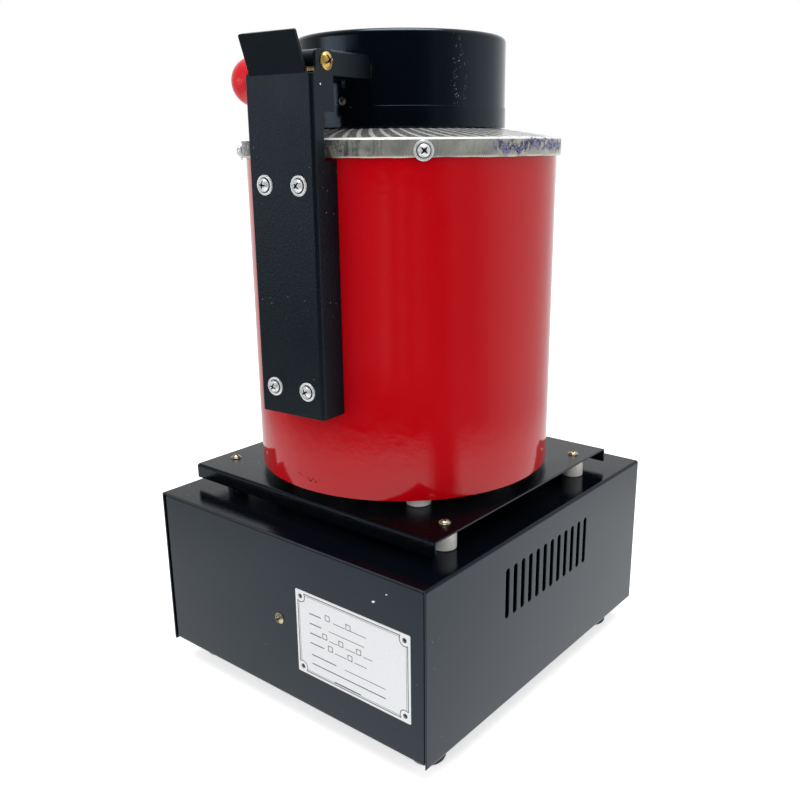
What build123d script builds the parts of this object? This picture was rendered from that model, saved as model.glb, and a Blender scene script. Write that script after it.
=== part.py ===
"""Electric gold melting furnace.

A vented sheet-metal base carries a deck plate on ceramic spacers, and the deck carries an insulated barrel
with a crucible in its heated well. A lid on a rear hinge closes the well. Millimetres, +Z up, front at -Y.
The origin is on the floor, under the middle of the whole footprint.
"""
import os
from math import cos, radians, sin, sqrt

from build123d import *

# ------------------------------------------------------------------ base box
BASE_WIDTH = 260.0
BASE_DEPTH = 290.0
BASE_HEIGHT = 128.0
BASE_OFF_X = -3.0            # middle of the base, seen from the barrel axis
BASE_OFF_Y = -2.5
SHEET = 1.2                  # folded sheet of the base and the deck
BEND_INSIDE = 0.8            # inside radius of the folds of base and deck
COVER_LIP = 40.0             # turned in under the chassis floor
COVER_GAP = 1.5              # chassis inside the cover, each side
LIP_SETBACK = 6.0            # lips end this far inside the front and rear edges
PANEL_RECESS = 1.0           # front and rear panels inside the cover's edges
PANEL_FLANGE = 12.0          # turned in under the cover's top

FOOT_HEIGHT = 16.0
FOOT_RADIUS = 12.5
FOOT_INSET_X = 22.0
FOOT_INSET_Y = 29.5
FOOT_EDGE = 2.5
FOOT_SINK = 8.0              # depth of the screw's counterbore
FOOT_SINK_RADIUS = 5.0

VENT_COUNT = 12
VENT_PITCH = 9.9
VENT_WIDTH = 4.9
VENT_LENGTH = 38.0
VENT_MIDDLE = 88.3           # above the cover's lower edge

PLATE_WIDTH = 102.0          # nameplate
PLATE_HEIGHT = 64.0
PLATE_SHEET = 0.5
PLATE_CORNER = 1.0
PLATE_HOLE_RADIUS = 1.2
PLATE_HOLE_INSET = 4.6
PLATE_INSET = 64.0           # nameplate's middle from the cover's left side
PLATE_RISE = 60.6            # its middle above the cover's lower edge
EARTH_X = 0.0
EARTH_RISE = 62.7
EARTH_TAIL = 2.0             # screw past its nut

# ------------------------------------------------------------------ deck
DECK_WIDTH = 236.0
DECK_DEPTH = 228.0
DECK_FLANGE = 11.0
DECK_GAP = 15.8              # height of the ceramic spacers under the deck
DECK_SPACER_RADIUS = 8.2
DECK_SCREW_INSET_X = 13.5
DECK_SCREW_INSET_Y = 28.0
SPACER_CHAMFER = 0.6
SPACER_BORE = 2.4

# ------------------------------------------------------------------ barrel
BARREL_RADIUS = 111.8
BARREL_WALL = 1.5
BARREL_FLOOR = 2.0
BARREL_GAP = 7.0             # height of the ceramic spacers under the barrel
BARREL_SPACER_RADIUS = 8.7
BARREL_SPACER_INSET = 13.8   # their circle inside the barrel's radius
BARREL_TURN = 4.75           # the barrel, its hinge and lid are turned on the deck
BARREL_TALL = 236.4          # shell and floor together

RING_RADIUS = 114.7
RING_SHEET = 1.0
RING_RIM = 12.4
RING_RISE = 6.2              # of the cone between rim and seat
RING_SEAT_RADIUS = 72.0      # flat seat under the lid
RING_SCREW_ANGLE = 41.5
RING_SCREW_DROP = 7.8        # below the rim's top edge
MOUTH_RADIUS = 48.0
MOUTH_LIP = 4.0              # turned down round the mouth

# ------------------------------------------------------------------ heated well
FIBRE_GAP = 0.3
NUT_ROOM_RADIUS = 5.4        # hollows in the fibre behind the bracket's screws
NUT_ROOM_DEPTH = 8.0
TIP_ROOM_RADIUS = 2.6        # and behind the ring's screws
TIP_ROOM_DEPTH = 4.0
FLOOR_FIBRE = 60.0
WELL_OUTER = 61.5
WELL_INNER = 50.0
COIL_WIRE = 1.3
COIL_PITCH = 12.0
COIL_TURNS = 10.5
COIL_BOTTOM = 14.0           # above the well's floor
STAND_RADIUS = 34.0
STAND_HEIGHT = 15.0
CRUCIBLE_TOP_RADIUS = 38.0
CRUCIBLE_FOOT_RADIUS = 33.0
CRUCIBLE_HEIGHT = 140.0
CRUCIBLE_WALL = 7.5
CRUCIBLE_FLOOR = 10.0
LEAD_RADIUS = 1.3
LEAD_CIRCLE = 56.0           # return lead inside the well's wall
BUSHING_RADIUS = 5.0
BUSHING_GAP = 0.15
BUSHING_DROP = 7.0           # bushings' lower ends, below the cover's top
LEAD_TAIL = 20.0             # leads' lower ends, below the cover's top
PROBE_RADIUS = 2.5
PROBE_CIRCLE = 43.0
PROBE_TIP = 70.0             # above the well's floor

# ------------------------------------------------------------------ hinge bracket, in the barrel's own frame
BRACKET_HALF = 27.0
BRACKET_SHEET = 2.0
BRACKET_BEND_INSIDE = 0.6
BRACKET_PROUD = 18.5         # outer face of the web, from the barrel
BRACKET_RISE = 60.9          # lower end above the barrel's lower edge
FOLD_DROP = 7.2              # tab's fold below the pin
CHEEK_OVER = 6.3             # cheeks above the pin
BRACKET_TOUCH = 0.1          # flanges to barrel
CHEEK_BEHIND = 9.6           # cheeks' rear edge behind the pin
CHEEK_BEFORE = 6.4           # and front edge before it
CHEEK_ROUND = 3.0
NOTCH_UNDER = 1.0            # notch below the ring's rim
NOTCH_OVER = 8.9             # and above the ring's seat
NOTCH_CLEAR = 5.7            # between notch and rim
TAB_HALF = 22.3
TAB_LEAN = 19.8
TAB_LENGTH = 24.5
TAB_ROUND = 1.5
RELIEF_RADIUS = 2.4
BRACKET_SCREW_X = 14.0
BRACKET_SCREW_LOW = 17.9     # above the bracket's lower end
BRACKET_SCREW_HIGH = 14.6    # below the notch

PIN_PROUD = 4.6              # pin's middle outside the barrel
PIN_RISE = 37.2              # and above the lid's lower edge
PIN_RADIUS = 5.0
PIN_RUNNING = 0.06
PIN_THREAD = 12.0            # depth of the thread in each end
CHEEK_CLEAR = 0.5

# ------------------------------------------------------------------ lid
LID_RADIUS = 74.2
LID_HEIGHT = 59.9
LID_WALL = 1.5
LID_ROUND = 3.6
LID_LIFT = 0.4               # band above the ring's seat
LID_SEAT_GAP = 0.35          # insulation above the seat
BAND_SHEET = 0.5
BAND_HEIGHT = 13.4
BAND_LIP = 11.0              # turned in under the shell
LID_FIBRE = 28.0
LID_SCREW_RISE = 3.2         # small screws above the band's edge
LID_SCREW_ANGLE = 94.0
LID_SCREW_COUNT = 2
LID_SCREW_LONG = 9.0
ARM_DROP = 7.7               # ears' lower edge below the pin
ARM_SHEET = 2.0
ARM_TOUCH = 0.05
KNUCKLE_DROP = 3.2           # the rolled end stops this far below the pin's middle
ARM_SCREW_ANGLE = 8.5
ARM_BORE = 9.0               # depth of the holes for its screws
LID_NUT_GAP = 0.3
HANDLE_RISE = 38.2           # above the lid's lower edge
HANDLE_REACH = 141.2
HANDLE_ROD_RADIUS = 5.5
HANDLE_COLLAR_RADIUS = 9.0
HANDLE_COLLAR = 4.0
KNOB_RADIUS = 19.2
KNOB_FACE = 16.5             # flat face towards the rod, from the ball's middle
KNOB_STUD = 4.0              # radius of the stud in the knob
KNOB_THREAD = 14.0

# ------------------------------------------------------------------ controls on the front panel
CONTROLLER_INSET = 75.0      # middle from the cover's left side
CONTROLLER_RISE = 68.0       # middle above the cover's lower edge
CONTROLLER_FACE = 72.0
CONTROLLER_BODY = 67.4
CONTROLLER_PROUD = 6.0
CONTROLLER_DEEP = 80.0
CONTROLLER_CORNER = 3.0
CONTROLLER_EDGE = 0.8
CLAMP_FRAME = 5.0
CLAMP_DEEP = 8.0
CLAMP_GAP = 0.3              # clamp round the case
PANEL_CUT_GAP = 0.3
WINDOW_WIDTH = 58.0
WINDOW_HEIGHT = 34.0
WINDOW_RISE = 11.0           # window's middle above the case's middle
WINDOW_DEEP = 1.6
WINDOW_SUNK = 0.4
KEY_PITCH = 14.0
KEY_WIDTH = 9.6
KEY_HEIGHT = 6.0
KEY_DROP = 23.0              # below the case's middle
KEY_PROUD = 1.0
KEY_BURIED = 2.6
KEY_TRAVEL = 0.7
KEY_GAP = 0.25
KEY_EDGE = 0.5

SWITCH_INSET = 69.0          # middle from the cover's right side
SWITCH_WIDTH = 25.0
SWITCH_HEIGHT = 31.0
SWITCH_BEZEL = 2.5
SWITCH_EDGE = 1.0
SWITCH_BODY_WIDTH = 21.5
SWITCH_BODY_HEIGHT = 27.0
SWITCH_BODY_DEEP = 22.0
ROCKER_WIDTH = 14.5
ROCKER_HEIGHT = 21.0
ROCKER_GAP = 0.8
ROCKER_SIDE_GAP = 0.4
ROCKER_TILT = 10.0
ROCKER_PROUD = 4.8           # rocker's ends in front of its axis
ROCKER_DIP = 3.4             # rocker's middle in front of its axis
ROCKER_BACK = 3.5
ROCKER_DEEP = 2.0            # axis behind the bezel's face
ROCKER_CAVITY = 7.0
ROCKER_PIVOT = 1.5           # axle's ends inside the housing's cheeks
ROCKER_AXLE = 1.5
ROCKER_RUNNING = 0.06

# ------------------------------------------------------------------ mains inlet, on the +X side of the cover
INLET_INSET = 54.5           # middle from the cover's rear edge
INLET_RISE = 40.0            # middle above the cover's lower edge
INLET_FLANGE_LONG = 50.0
INLET_FLANGE_TALL = 24.0
INLET_FLANGE = 2.5
INLET_CORNER = 4.0
INLET_BODY_LONG = 28.0
INLET_BODY_TALL = 20.6
INLET_BODY_DEEP = 24.0
INLET_SOCKET_LONG = 24.4
INLET_SOCKET_TALL = 16.6
INLET_SOCKET_DEEP = 17.0
INLET_SOCKET_CHAMFER = 4.5
INLET_PIN_PITCH = 7.0
INLET_PIN_LONG = 14.0
INLET_PIN_WIDE = 4.0
INLET_PIN_THICK = 2.0
INLET_PIN_EDGE = 0.4
INLET_TAG = 6.0              # pins' tags behind the body
INLET_PIN_RISE = 2.2         # pins above or below the socket's middle
INLET_SCREW_PITCH = 40.0
INLET_SCREW_TAIL = 4.0       # screws past the cover's sheet

# ------------------------------------------------------------------ power parts on the chassis floor
RELAY_INSET = 71.0           # middle from the cover's right side
RELAY_CLEAR = 18.5           # heatsink behind the controller
RELAY_LONG = 58.0
RELAY_WIDE = 44.0
RELAY_TALL = 23.0
RELAY_FOOT = 5.0
RELAY_STUD = 3.0
RELAY_STUD_X = 14.0
RELAY_STUD_Y = 10.0
SINK_LONG = 76.0
SINK_WIDE = 52.0
SINK_TALL = 40.0
SINK_PLATE = 6.0
SINK_FIN = 1.6
SINK_FINS = 8
BLOCK_X = 0.0
BLOCK_STEP = 50.0            # behind the relay's middle
BLOCK_LONG = 54.0
BLOCK_WIDE = 22.0
BLOCK_TALL = 18.0
BLOCK_WELLS = 4
BLOCK_WELL_PITCH = 9.0
BLOCK_WELL_RADIUS = 3.4
BLOCK_WELL_DEEP = 6.0
WIRE_RADIUS = 1.2
WIRE_BEND = 9.0
WIRE_CLEAR = 4.0             # between a wire and what it passes
WIRE_LANE = 10.0             # between two wires side by side
PROBE_EXIT = 18.0            # exits at the controller's rear, from its middle
PAIR_EXIT = 8.0
NEAR_EXIT = 16.0
SWITCH_TAG = 8.0             # switch's tags above and below its middle
SWITCH_LOOP = 20.0           # bends of its two wires, behind it
SWITCH_TURN = 12.0

# ------------------------------------------------------------------ fasteners
# shank radius, head radius, head height
M3 = (1.5, 2.6, 1.9)
M4 = (2.0, 4.1, 2.7)
M5 = (2.5, 5.3, 3.5)
THREAD_GAP = 0.06
HOLE_GAP = 0.15
CROSS_ARM = 0.62             # recess arm, of the head's radius
CROSS_WIDTH = 0.26
CROSS_DEPTH = 0.5
WASHER_RADIUS = 6.3
WASHER_THICK = 1.1
NUT_ACROSS = 3.5             # of the shank's radius, as are the next two
NUT_TALL = 1.6
NUT_CORNER = 2.1             # kept clear for a nut's corners
SCREW_TAIL = 1.0             # past a nut
NUT_GAP = 0.1                # between a nut's corners and a curved wall

# ------------------------------------------------------------------ levels worked out from the sizes
Z_COVER = FOOT_HEIGHT
Z_FLOOR = Z_COVER + SHEET
Z_COVER_TOP = Z_COVER + BASE_HEIGHT
Z_DECK_UNDER = Z_COVER_TOP + DECK_GAP
Z_DECK = Z_DECK_UNDER + SHEET
Z_BARREL = Z_DECK + BARREL_GAP
Z_SHELL = Z_BARREL + BARREL_FLOOR
Z_SHELL_TOP = Z_BARREL + BARREL_TALL
Z_RING_TOP = Z_SHELL_TOP + RING_SHEET
Z_RING_LOW = Z_RING_TOP - RING_RIM
Z_SEAT = Z_RING_TOP + RING_RISE
Z_WELL = Z_SHELL + FLOOR_FIBRE
Z_LID = Z_SEAT + LID_LIFT
Z_LID_TOP = Z_LID + LID_HEIGHT
WALL_INNER = BARREL_RADIUS - BARREL_WALL
Y_FRONT = BASE_OFF_Y - BASE_DEPTH / 2 + PANEL_RECESS
Y_REAR = BASE_OFF_Y + BASE_DEPTH / 2 - PANEL_RECESS
X_RIGHT = BASE_OFF_X + BASE_WIDTH / 2
X_LEFT = BASE_OFF_X - BASE_WIDTH / 2
PLATE_X = X_LEFT + PLATE_INSET
PLATE_Z = Z_COVER + PLATE_RISE
EARTH_Z = Z_COVER + EARTH_RISE
CONTROLLER_X = X_LEFT + CONTROLLER_INSET
CONTROLLER_Z = Z_COVER + CONTROLLER_RISE
SWITCH_X = X_RIGHT - SWITCH_INSET
SWITCH_Z = CONTROLLER_Z
INLET_Y = Y_REAR + PANEL_RECESS - INLET_INSET
INLET_Z = Z_COVER + INLET_RISE
RELAY_X = X_RIGHT - RELAY_INSET
RELAY_Y = Y_FRONT + CONTROLLER_DEEP + RELAY_CLEAR + SINK_LONG / 2
BLOCK_Y = RELAY_Y + BLOCK_STEP
PIN_Y = BARREL_RADIUS + PIN_PROUD
PIN_Z = Z_LID + PIN_RISE
HANDLE_Z = Z_LID + HANDLE_RISE
ARM_LOW = PIN_Z - ARM_DROP
BRACKET_FACE = BARREL_RADIUS + BRACKET_PROUD
BRACKET_LOW = Z_BARREL + BRACKET_RISE
BRACKET_FOLD = PIN_Z - FOLD_DROP
BRACKET_TOP = PIN_Z + CHEEK_OVER
CHEEK_REAR = PIN_Y + CHEEK_BEHIND
CHEEK_FRONT = PIN_Y - CHEEK_BEFORE
NOTCH_LOW = Z_RING_LOW - NOTCH_UNDER
NOTCH_HIGH = Z_SEAT + NOTCH_OVER
NOTCH_DEPTH = RING_RADIUS + NOTCH_CLEAR
BRACKET_SCREW_ZS = (BRACKET_LOW + BRACKET_SCREW_LOW, NOTCH_LOW - BRACKET_SCREW_HIGH)
EAR_OUTER = BRACKET_HALF - BRACKET_SHEET - CHEEK_CLEAR
KNUCKLE_OUTER = PIN_RADIUS + PIN_RUNNING + ARM_SHEET
FLANGE_EDGE = sqrt(BARREL_RADIUS**2 - (BRACKET_HALF - BRACKET_SHEET) ** 2) + BRACKET_TOUCH

PARTS = {}


def keep(name, shape, turned=False):
    """Store one node. Pieces of the barrel group are built straight and turned with the barrel."""
    if turned:
        shape = Rot(0, 0, BARREL_TURN) * shape
    PARTS[name] = shape


def group(pieces):
    """Separate solids in one node."""
    return Compound([solid for piece in pieces for solid in piece.solids()])


def facing(x, y, z, direction):
    """A place whose own +Z looks along direction."""
    return Plane(origin=(x, y, z), z_dir=direction).location


def block(x_low, x_high, y_low, y_high, z_low, z_high):
    """A box from its corners."""
    middle = Pos((x_low + x_high) / 2, (y_low + y_high) / 2, (z_low + z_high) / 2)
    return middle * Box(x_high - x_low, y_high - y_low, z_high - z_low)


def rod(radius, z_low, z_high, x=0.0, y=0.0):
    """An upright cylinder."""
    return Pos(x, y, (z_low + z_high) / 2) * Cylinder(radius, z_high - z_low)


def tube(outer, inner, z_low, z_high):
    """An upright tube round the Z axis."""
    return rod(outer, z_low, z_high) - rod(inner, z_low - 1, z_high + 1)


def turned_profile(points):
    """Revolve (radius, z) points round the Z axis."""
    return revolve(Plane.XZ * make_face(Polyline(*points, close=True)), Axis.Z)


# ------------------------------------------------------------------ fasteners
def screw(size, length, washer=0.0):
    """Pan-head screw along Z: underside of the head at 0, shank below. A washer radius adds a washer face."""
    shank, head, tall = size
    seat = WASHER_THICK if washer else 0.0
    bulge = (head * head + tall * tall) / (2 * tall)
    dome = Pos(0, 0, seat + tall - bulge) * Sphere(bulge)
    top = (dome & rod(head, seat, seat + tall)) - cross_recess(head, seat + tall)
    whole = top + rod(shank, -length, seat + tall * 0.2)
    if washer:
        whole += rod(washer, 0, seat)
    return whole


def cross_recess(head, top):
    """The Phillips recess of a head whose crown is at top."""
    arm, width, deep = head * CROSS_ARM, head * CROSS_WIDTH, head * CROSS_DEPTH
    bar = block(-arm, arm, -width / 2, width / 2, top - deep, top + 1)
    return bar + Rot(0, 0, 90) * bar


def nut(size):
    """Hexagon nut on Z, from 0 upwards."""
    across, tall = size[0] * NUT_ACROSS, nut_height(size)
    plate = extrude(RegularPolygon(across / 2, 6, major_radius=False), tall)
    return plate - rod(size[0] + THREAD_GAP, -1, tall + 1)


def nut_height(size):
    """Height of that nut."""
    return size[0] * NUT_TALL


def spacer(radius, tall):
    """Ceramic spacer on Z, from 0 upwards."""
    body = chamfer(rod(radius, 0, tall).edges(), SPACER_CHAMFER)
    return body - rod(SPACER_BORE, -1, tall + 1)


def outward(angle, radius, z):
    """A place on a cylinder round the Z axis, looking outward."""
    return Rot(0, 0, angle) * Pos(radius, 0, z) * Rot(0, 90, 0)


def prism_x(sketch, x_low, x_high):
    """A (y, z) sketch pulled along X."""
    return extrude(Plane(origin=(x_low, 0, 0), x_dir=(0, 1, 0), z_dir=(1, 0, 0)) * sketch, x_high - x_low)


def prism_y(sketch, y_low, y_high):
    """An (x, z) sketch pulled along Y."""
    return extrude(Plane(origin=(0, y_high, 0), x_dir=(1, 0, 0), z_dir=(0, -1, 0)) * sketch, y_high - y_low)


def folded(across, middle, low, high, bend):
    """Closed section of folded sheet: its width, middle, levels and inside bend radius."""
    place = Pos(middle, (low + high) / 2)
    outer = RectangleRounded(across, high - low, bend + SHEET)
    inner = RectangleRounded(across - 2 * SHEET, high - low - 2 * SHEET, bend)
    return place * outer - place * inner


def bores(places, radius, z_low, z_high):
    """Upright holes at the given places."""
    return [rod(radius, z_low, z_high, x, y) for x, y in places]


# ------------------------------------------------------------------ where the repeated pieces stand
Y_LOW = Y_FRONT - PANEL_RECESS
Y_HIGH = Y_REAR + PANEL_RECESS
FOOT_PLACES = [(x, y) for x in (X_LEFT + FOOT_INSET_X, X_RIGHT - FOOT_INSET_X)
               for y in (Y_LOW + FOOT_INSET_Y, Y_HIGH - FOOT_INSET_Y)]
DECK_SCREW_X = DECK_WIDTH / 2 - DECK_SCREW_INSET_X
DECK_SCREW_Y = DECK_DEPTH / 2 - DECK_SCREW_INSET_Y
DECK_PLACES = [(x, y) for x in (-DECK_SCREW_X, DECK_SCREW_X) for y in (-DECK_SCREW_Y, DECK_SCREW_Y)]
BARREL_SPACER_CIRCLE = BARREL_RADIUS - BARREL_SPACER_INSET
BARREL_PLACES = [(BARREL_SPACER_CIRCLE * cos(radians(a)), BARREL_SPACER_CIRCLE * sin(radians(a)))
                 for a in (45, 135, 225, 315)]
COIL_RADIUS = WELL_INNER - COIL_WIRE - BUSHING_GAP
FEED_PLACE = (COIL_RADIUS, 0.0)
RETURN_PLACE = (-LEAD_CIRCLE, 0.0)
PROBE_PLACE = (0.0, -PROBE_CIRCLE)
BUSHING_PLACES = [FEED_PLACE, RETURN_PLACE, PROBE_PLACE]
SINK_BOLTS = [(RELAY_X, RELAY_Y + s * (SINK_LONG / 2 - M4[1])) for s in (-1, 1)]
RELAY_SCREWS = [(RELAY_X, RELAY_Y + s * (RELAY_LONG / 2 - M4[1])) for s in (-1, 1)]
BLOCK_SCREWS = [(BLOCK_X + s * (BLOCK_LONG / 2 - M4[1]), BLOCK_Y) for s in (-1, 1)]
RELAY_TERMINALS = [(RELAY_X + a * RELAY_STUD_X, RELAY_Y + b * RELAY_STUD_Y) for a in (-1, 1) for b in (-1, 1)]
BLOCK_WELLS_AT = [(BLOCK_X + (i - (BLOCK_WELLS - 1) / 2) * BLOCK_WELL_PITCH, BLOCK_Y)
                  for i in range(BLOCK_WELLS)]
Z_INSIDE = Z_FLOOR + SHEET
Z_SINK = Z_INSIDE + SINK_TALL


# ------------------------------------------------------------------ base box
def build_cover():
    """Folded cover: top and two vented sides, with lips turned in under the chassis."""
    section = folded(BASE_WIDTH, BASE_OFF_X, Z_COVER, Z_COVER_TOP, BEND_INSIDE)
    section -= Pos(BASE_OFF_X, Z_COVER) * Rectangle(BASE_WIDTH - 2 * COVER_LIP, 4 * SHEET)
    cover = prism_y(section, Y_LOW, Y_HIGH)
    low, high, under = X_LEFT + SHEET, X_RIGHT - SHEET, Z_COVER + SHEET + BEND_INSIDE
    cover -= [block(low, high, Y_LOW - 1, Y_LOW + LIP_SETBACK, Z_COVER - 1, under),
              block(low, high, Y_HIGH - LIP_SETBACK, Y_HIGH + 1, Z_COVER - 1, under)]
    first = BASE_OFF_Y - (VENT_COUNT - 1) * VENT_PITCH / 2
    slot = Rot(0, 0, 90) * SlotOverall(VENT_LENGTH, VENT_WIDTH)
    vents = [Pos(first + i * VENT_PITCH, Z_COVER + VENT_MIDDLE) * slot for i in range(VENT_COUNT)]
    cover -= [prism_x(vent, X_LEFT - 1, X_RIGHT + 1) for vent in vents]
    cover -= bores(DECK_PLACES, M4[0] + HOLE_GAP, Z_COVER_TOP - 2 * SHEET, Z_COVER_TOP + 1)
    cover -= bores(BUSHING_PLACES, BUSHING_RADIUS + BUSHING_GAP, Z_COVER_TOP - 2 * SHEET, Z_COVER_TOP + 1)
    cover -= bores(FOOT_PLACES, M4[0] + HOLE_GAP, Z_COVER - 1, Z_COVER + 2 * SHEET)
    long, tall = INLET_BODY_LONG / 2 + PANEL_CUT_GAP, INLET_BODY_TALL / 2 + PANEL_CUT_GAP
    cover -= block(X_RIGHT - 2 * SHEET, X_RIGHT + 1, INLET_Y - long, INLET_Y + long,
                   INLET_Z - tall, INLET_Z + tall)
    holes = [facing(X_RIGHT, INLET_Y + s * INLET_SCREW_PITCH / 2, INLET_Z, (1, 0, 0)) for s in (-1, 1)]
    return cover - [hole * rod(M3[0] + HOLE_GAP, -2 * SHEET, 1) for hole in holes]


def build_chassis():
    """Folded floor with the front and rear panels and their top flanges."""
    depth = Y_REAR - Y_FRONT
    section = folded(depth, BASE_OFF_Y, Z_FLOOR, Z_COVER_TOP - SHEET, BEND_INSIDE)
    section -= Pos(BASE_OFF_Y, Z_COVER_TOP - SHEET) * Rectangle(depth - 2 * PANEL_FLANGE, 4 * SHEET)
    x_low, x_high = X_LEFT + SHEET + COVER_GAP, X_RIGHT - SHEET - COVER_GAP
    chassis = prism_x(section, x_low, x_high)
    middle = Pos(BASE_OFF_X, (Z_FLOOR + Z_COVER_TOP - SHEET) / 2)
    corner = BEND_INSIDE + COVER_GAP
    inside = RectangleRounded(x_high - x_low, Z_COVER_TOP - SHEET - Z_FLOOR, corner)
    chassis &= prism_y(middle * inside, Y_LOW, Y_HIGH)
    floor_holes = FOOT_PLACES + SINK_BOLTS + BLOCK_SCREWS
    chassis -= bores(floor_holes, M4[0] + HOLE_GAP, Z_FLOOR - 1, Z_INSIDE + 1)
    half = CONTROLLER_BODY / 2 + PANEL_CUT_GAP
    cuts = [block(CONTROLLER_X - half, CONTROLLER_X + half, Y_LOW, Y_FRONT + 2 * SHEET,
                  CONTROLLER_Z - half, CONTROLLER_Z + half)]
    wide, tall = SWITCH_BODY_WIDTH / 2 + PANEL_CUT_GAP, SWITCH_BODY_HEIGHT / 2 + PANEL_CUT_GAP
    cuts.append(block(SWITCH_X - wide, SWITCH_X + wide, Y_LOW, Y_FRONT + 2 * SHEET,
                      SWITCH_Z - tall, SWITCH_Z + tall))
    cuts.append(facing(EARTH_X, Y_REAR, EARTH_Z, (0, 1, 0)) * rod(M4[0] + HOLE_GAP, -2 * SHEET, 1))
    return chassis - cuts


def build_foot():
    """Rubber foot with a sunk seat for its screw."""
    foot = fillet(rod(FOOT_RADIUS, 0, FOOT_HEIGHT).edges().group_by(Axis.Z)[0], FOOT_EDGE)
    foot -= rod(FOOT_SINK_RADIUS, -1, FOOT_SINK)
    return foot - rod(M4[0] + HOLE_GAP, 0, FOOT_HEIGHT + 1)


def build_nameplate():
    """Plate with rounded corners and a small hole in each."""
    sketch = RectangleRounded(PLATE_WIDTH, PLATE_HEIGHT, PLATE_CORNER)
    across, up = PLATE_WIDTH / 2 - PLATE_HOLE_INSET, PLATE_HEIGHT / 2 - PLATE_HOLE_INSET
    for x, z in [(-across, -up), (-across, up), (across, -up), (across, up)]:
        sketch -= Pos(x, z) * Circle(PLATE_HOLE_RADIUS)
    return prism_y(Pos(PLATE_X, PLATE_Z) * sketch, Y_REAR, Y_REAR + PLATE_SHEET)


def build_base():
    """Everything of the base box but its controls."""
    keep("base_cover", build_cover())
    keep("base_chassis", build_chassis())
    foot = build_foot()
    keep("feet", group(Pos(x, y, 0) * foot for x, y in FOOT_PLACES))
    reach = Z_INSIDE - FOOT_SINK + nut_height(M4) + SCREW_TAIL
    foot_screw = Rot(180, 0, 0) * screw(M4, reach)
    keep("foot_screws", group(Pos(x, y, FOOT_SINK) * foot_screw for x, y in FOOT_PLACES))
    keep("foot_nuts", group(Pos(x, y, Z_INSIDE) * nut(M4) for x, y in FOOT_PLACES))
    keep("nameplate", build_nameplate())
    earth = facing(EARTH_X, Y_REAR, EARTH_Z, (0, 1, 0))
    keep("earth_screw", earth * screw(M4, SHEET + nut_height(M4) + EARTH_TAIL))
    keep("earth_nut", earth * Pos(0, 0, -SHEET - nut_height(M4)) * nut(M4))


# ------------------------------------------------------------------ deck
def build_deck():
    """Deck plate with two flanges turned down, on its ceramic spacers."""
    section = folded(DECK_DEPTH, 0, Z_DECK - 2 * DECK_FLANGE, Z_DECK, BEND_INSIDE)
    section -= Pos(0, Z_DECK - 1.5 * DECK_FLANGE) * Rectangle(2 * DECK_DEPTH, DECK_FLANGE)
    plate = prism_x(section, -DECK_WIDTH / 2, DECK_WIDTH / 2)
    plate -= bores(DECK_PLACES, M4[0] + HOLE_GAP, Z_DECK_UNDER - 1, Z_DECK + 1)
    plate -= bores(BARREL_PLACES, M5[0] + HOLE_GAP, Z_DECK_UNDER - 1, Z_DECK + 1)
    plate -= bores(BUSHING_PLACES, BUSHING_RADIUS + BUSHING_GAP, Z_DECK_UNDER - 1, Z_DECK + 1)
    keep("deck_plate", plate)
    tall = spacer(DECK_SPACER_RADIUS, DECK_GAP)
    keep("deck_spacers", group(Pos(x, y, Z_COVER_TOP) * tall for x, y in DECK_PLACES))
    nut_top = Z_COVER_TOP - SHEET
    pan = screw(M4, Z_DECK - nut_top + nut_height(M4) + SCREW_TAIL)
    keep("deck_screws", group(Pos(x, y, Z_DECK) * pan for x, y in DECK_PLACES))
    keep("deck_nuts", group(Pos(x, y, nut_top - nut_height(M4)) * nut(M4) for x, y in DECK_PLACES))
    low = spacer(BARREL_SPACER_RADIUS, BARREL_GAP) - rod(M5[0] + HOLE_GAP, -1, BARREL_GAP + 1)
    keep("barrel_spacers", group(Pos(x, y, Z_DECK) * low for x, y in BARREL_PLACES))
    bolt = screw(M5, Z_SHELL - Z_DECK_UNDER + nut_height(M5) + SCREW_TAIL)
    keep("barrel_bolts", group(Pos(x, y, Z_SHELL) * bolt for x, y in BARREL_PLACES))
    under = Z_DECK_UNDER - nut_height(M5)
    keep("barrel_nuts", group(Pos(x, y, under) * nut(M5) for x, y in BARREL_PLACES))


# ------------------------------------------------------------------ barrel and its heated well
RING_SCREWS = [outward(RING_SCREW_ANGLE + 90 * i, RING_RADIUS, Z_RING_TOP - RING_SCREW_DROP)
               for i in range(4)]
BRACKET_SCREWS = [facing(s * BRACKET_SCREW_X, BRACKET_FACE, z, (0, 1, 0))
                  for s in (-1, 1) for z in BRACKET_SCREW_ZS]
BRACKET_NUT_DEPTH = BRACKET_FACE - sqrt(WALL_INNER**2 - (BRACKET_SCREW_X + NUT_CORNER * M4[0]) ** 2) + NUT_GAP


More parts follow.
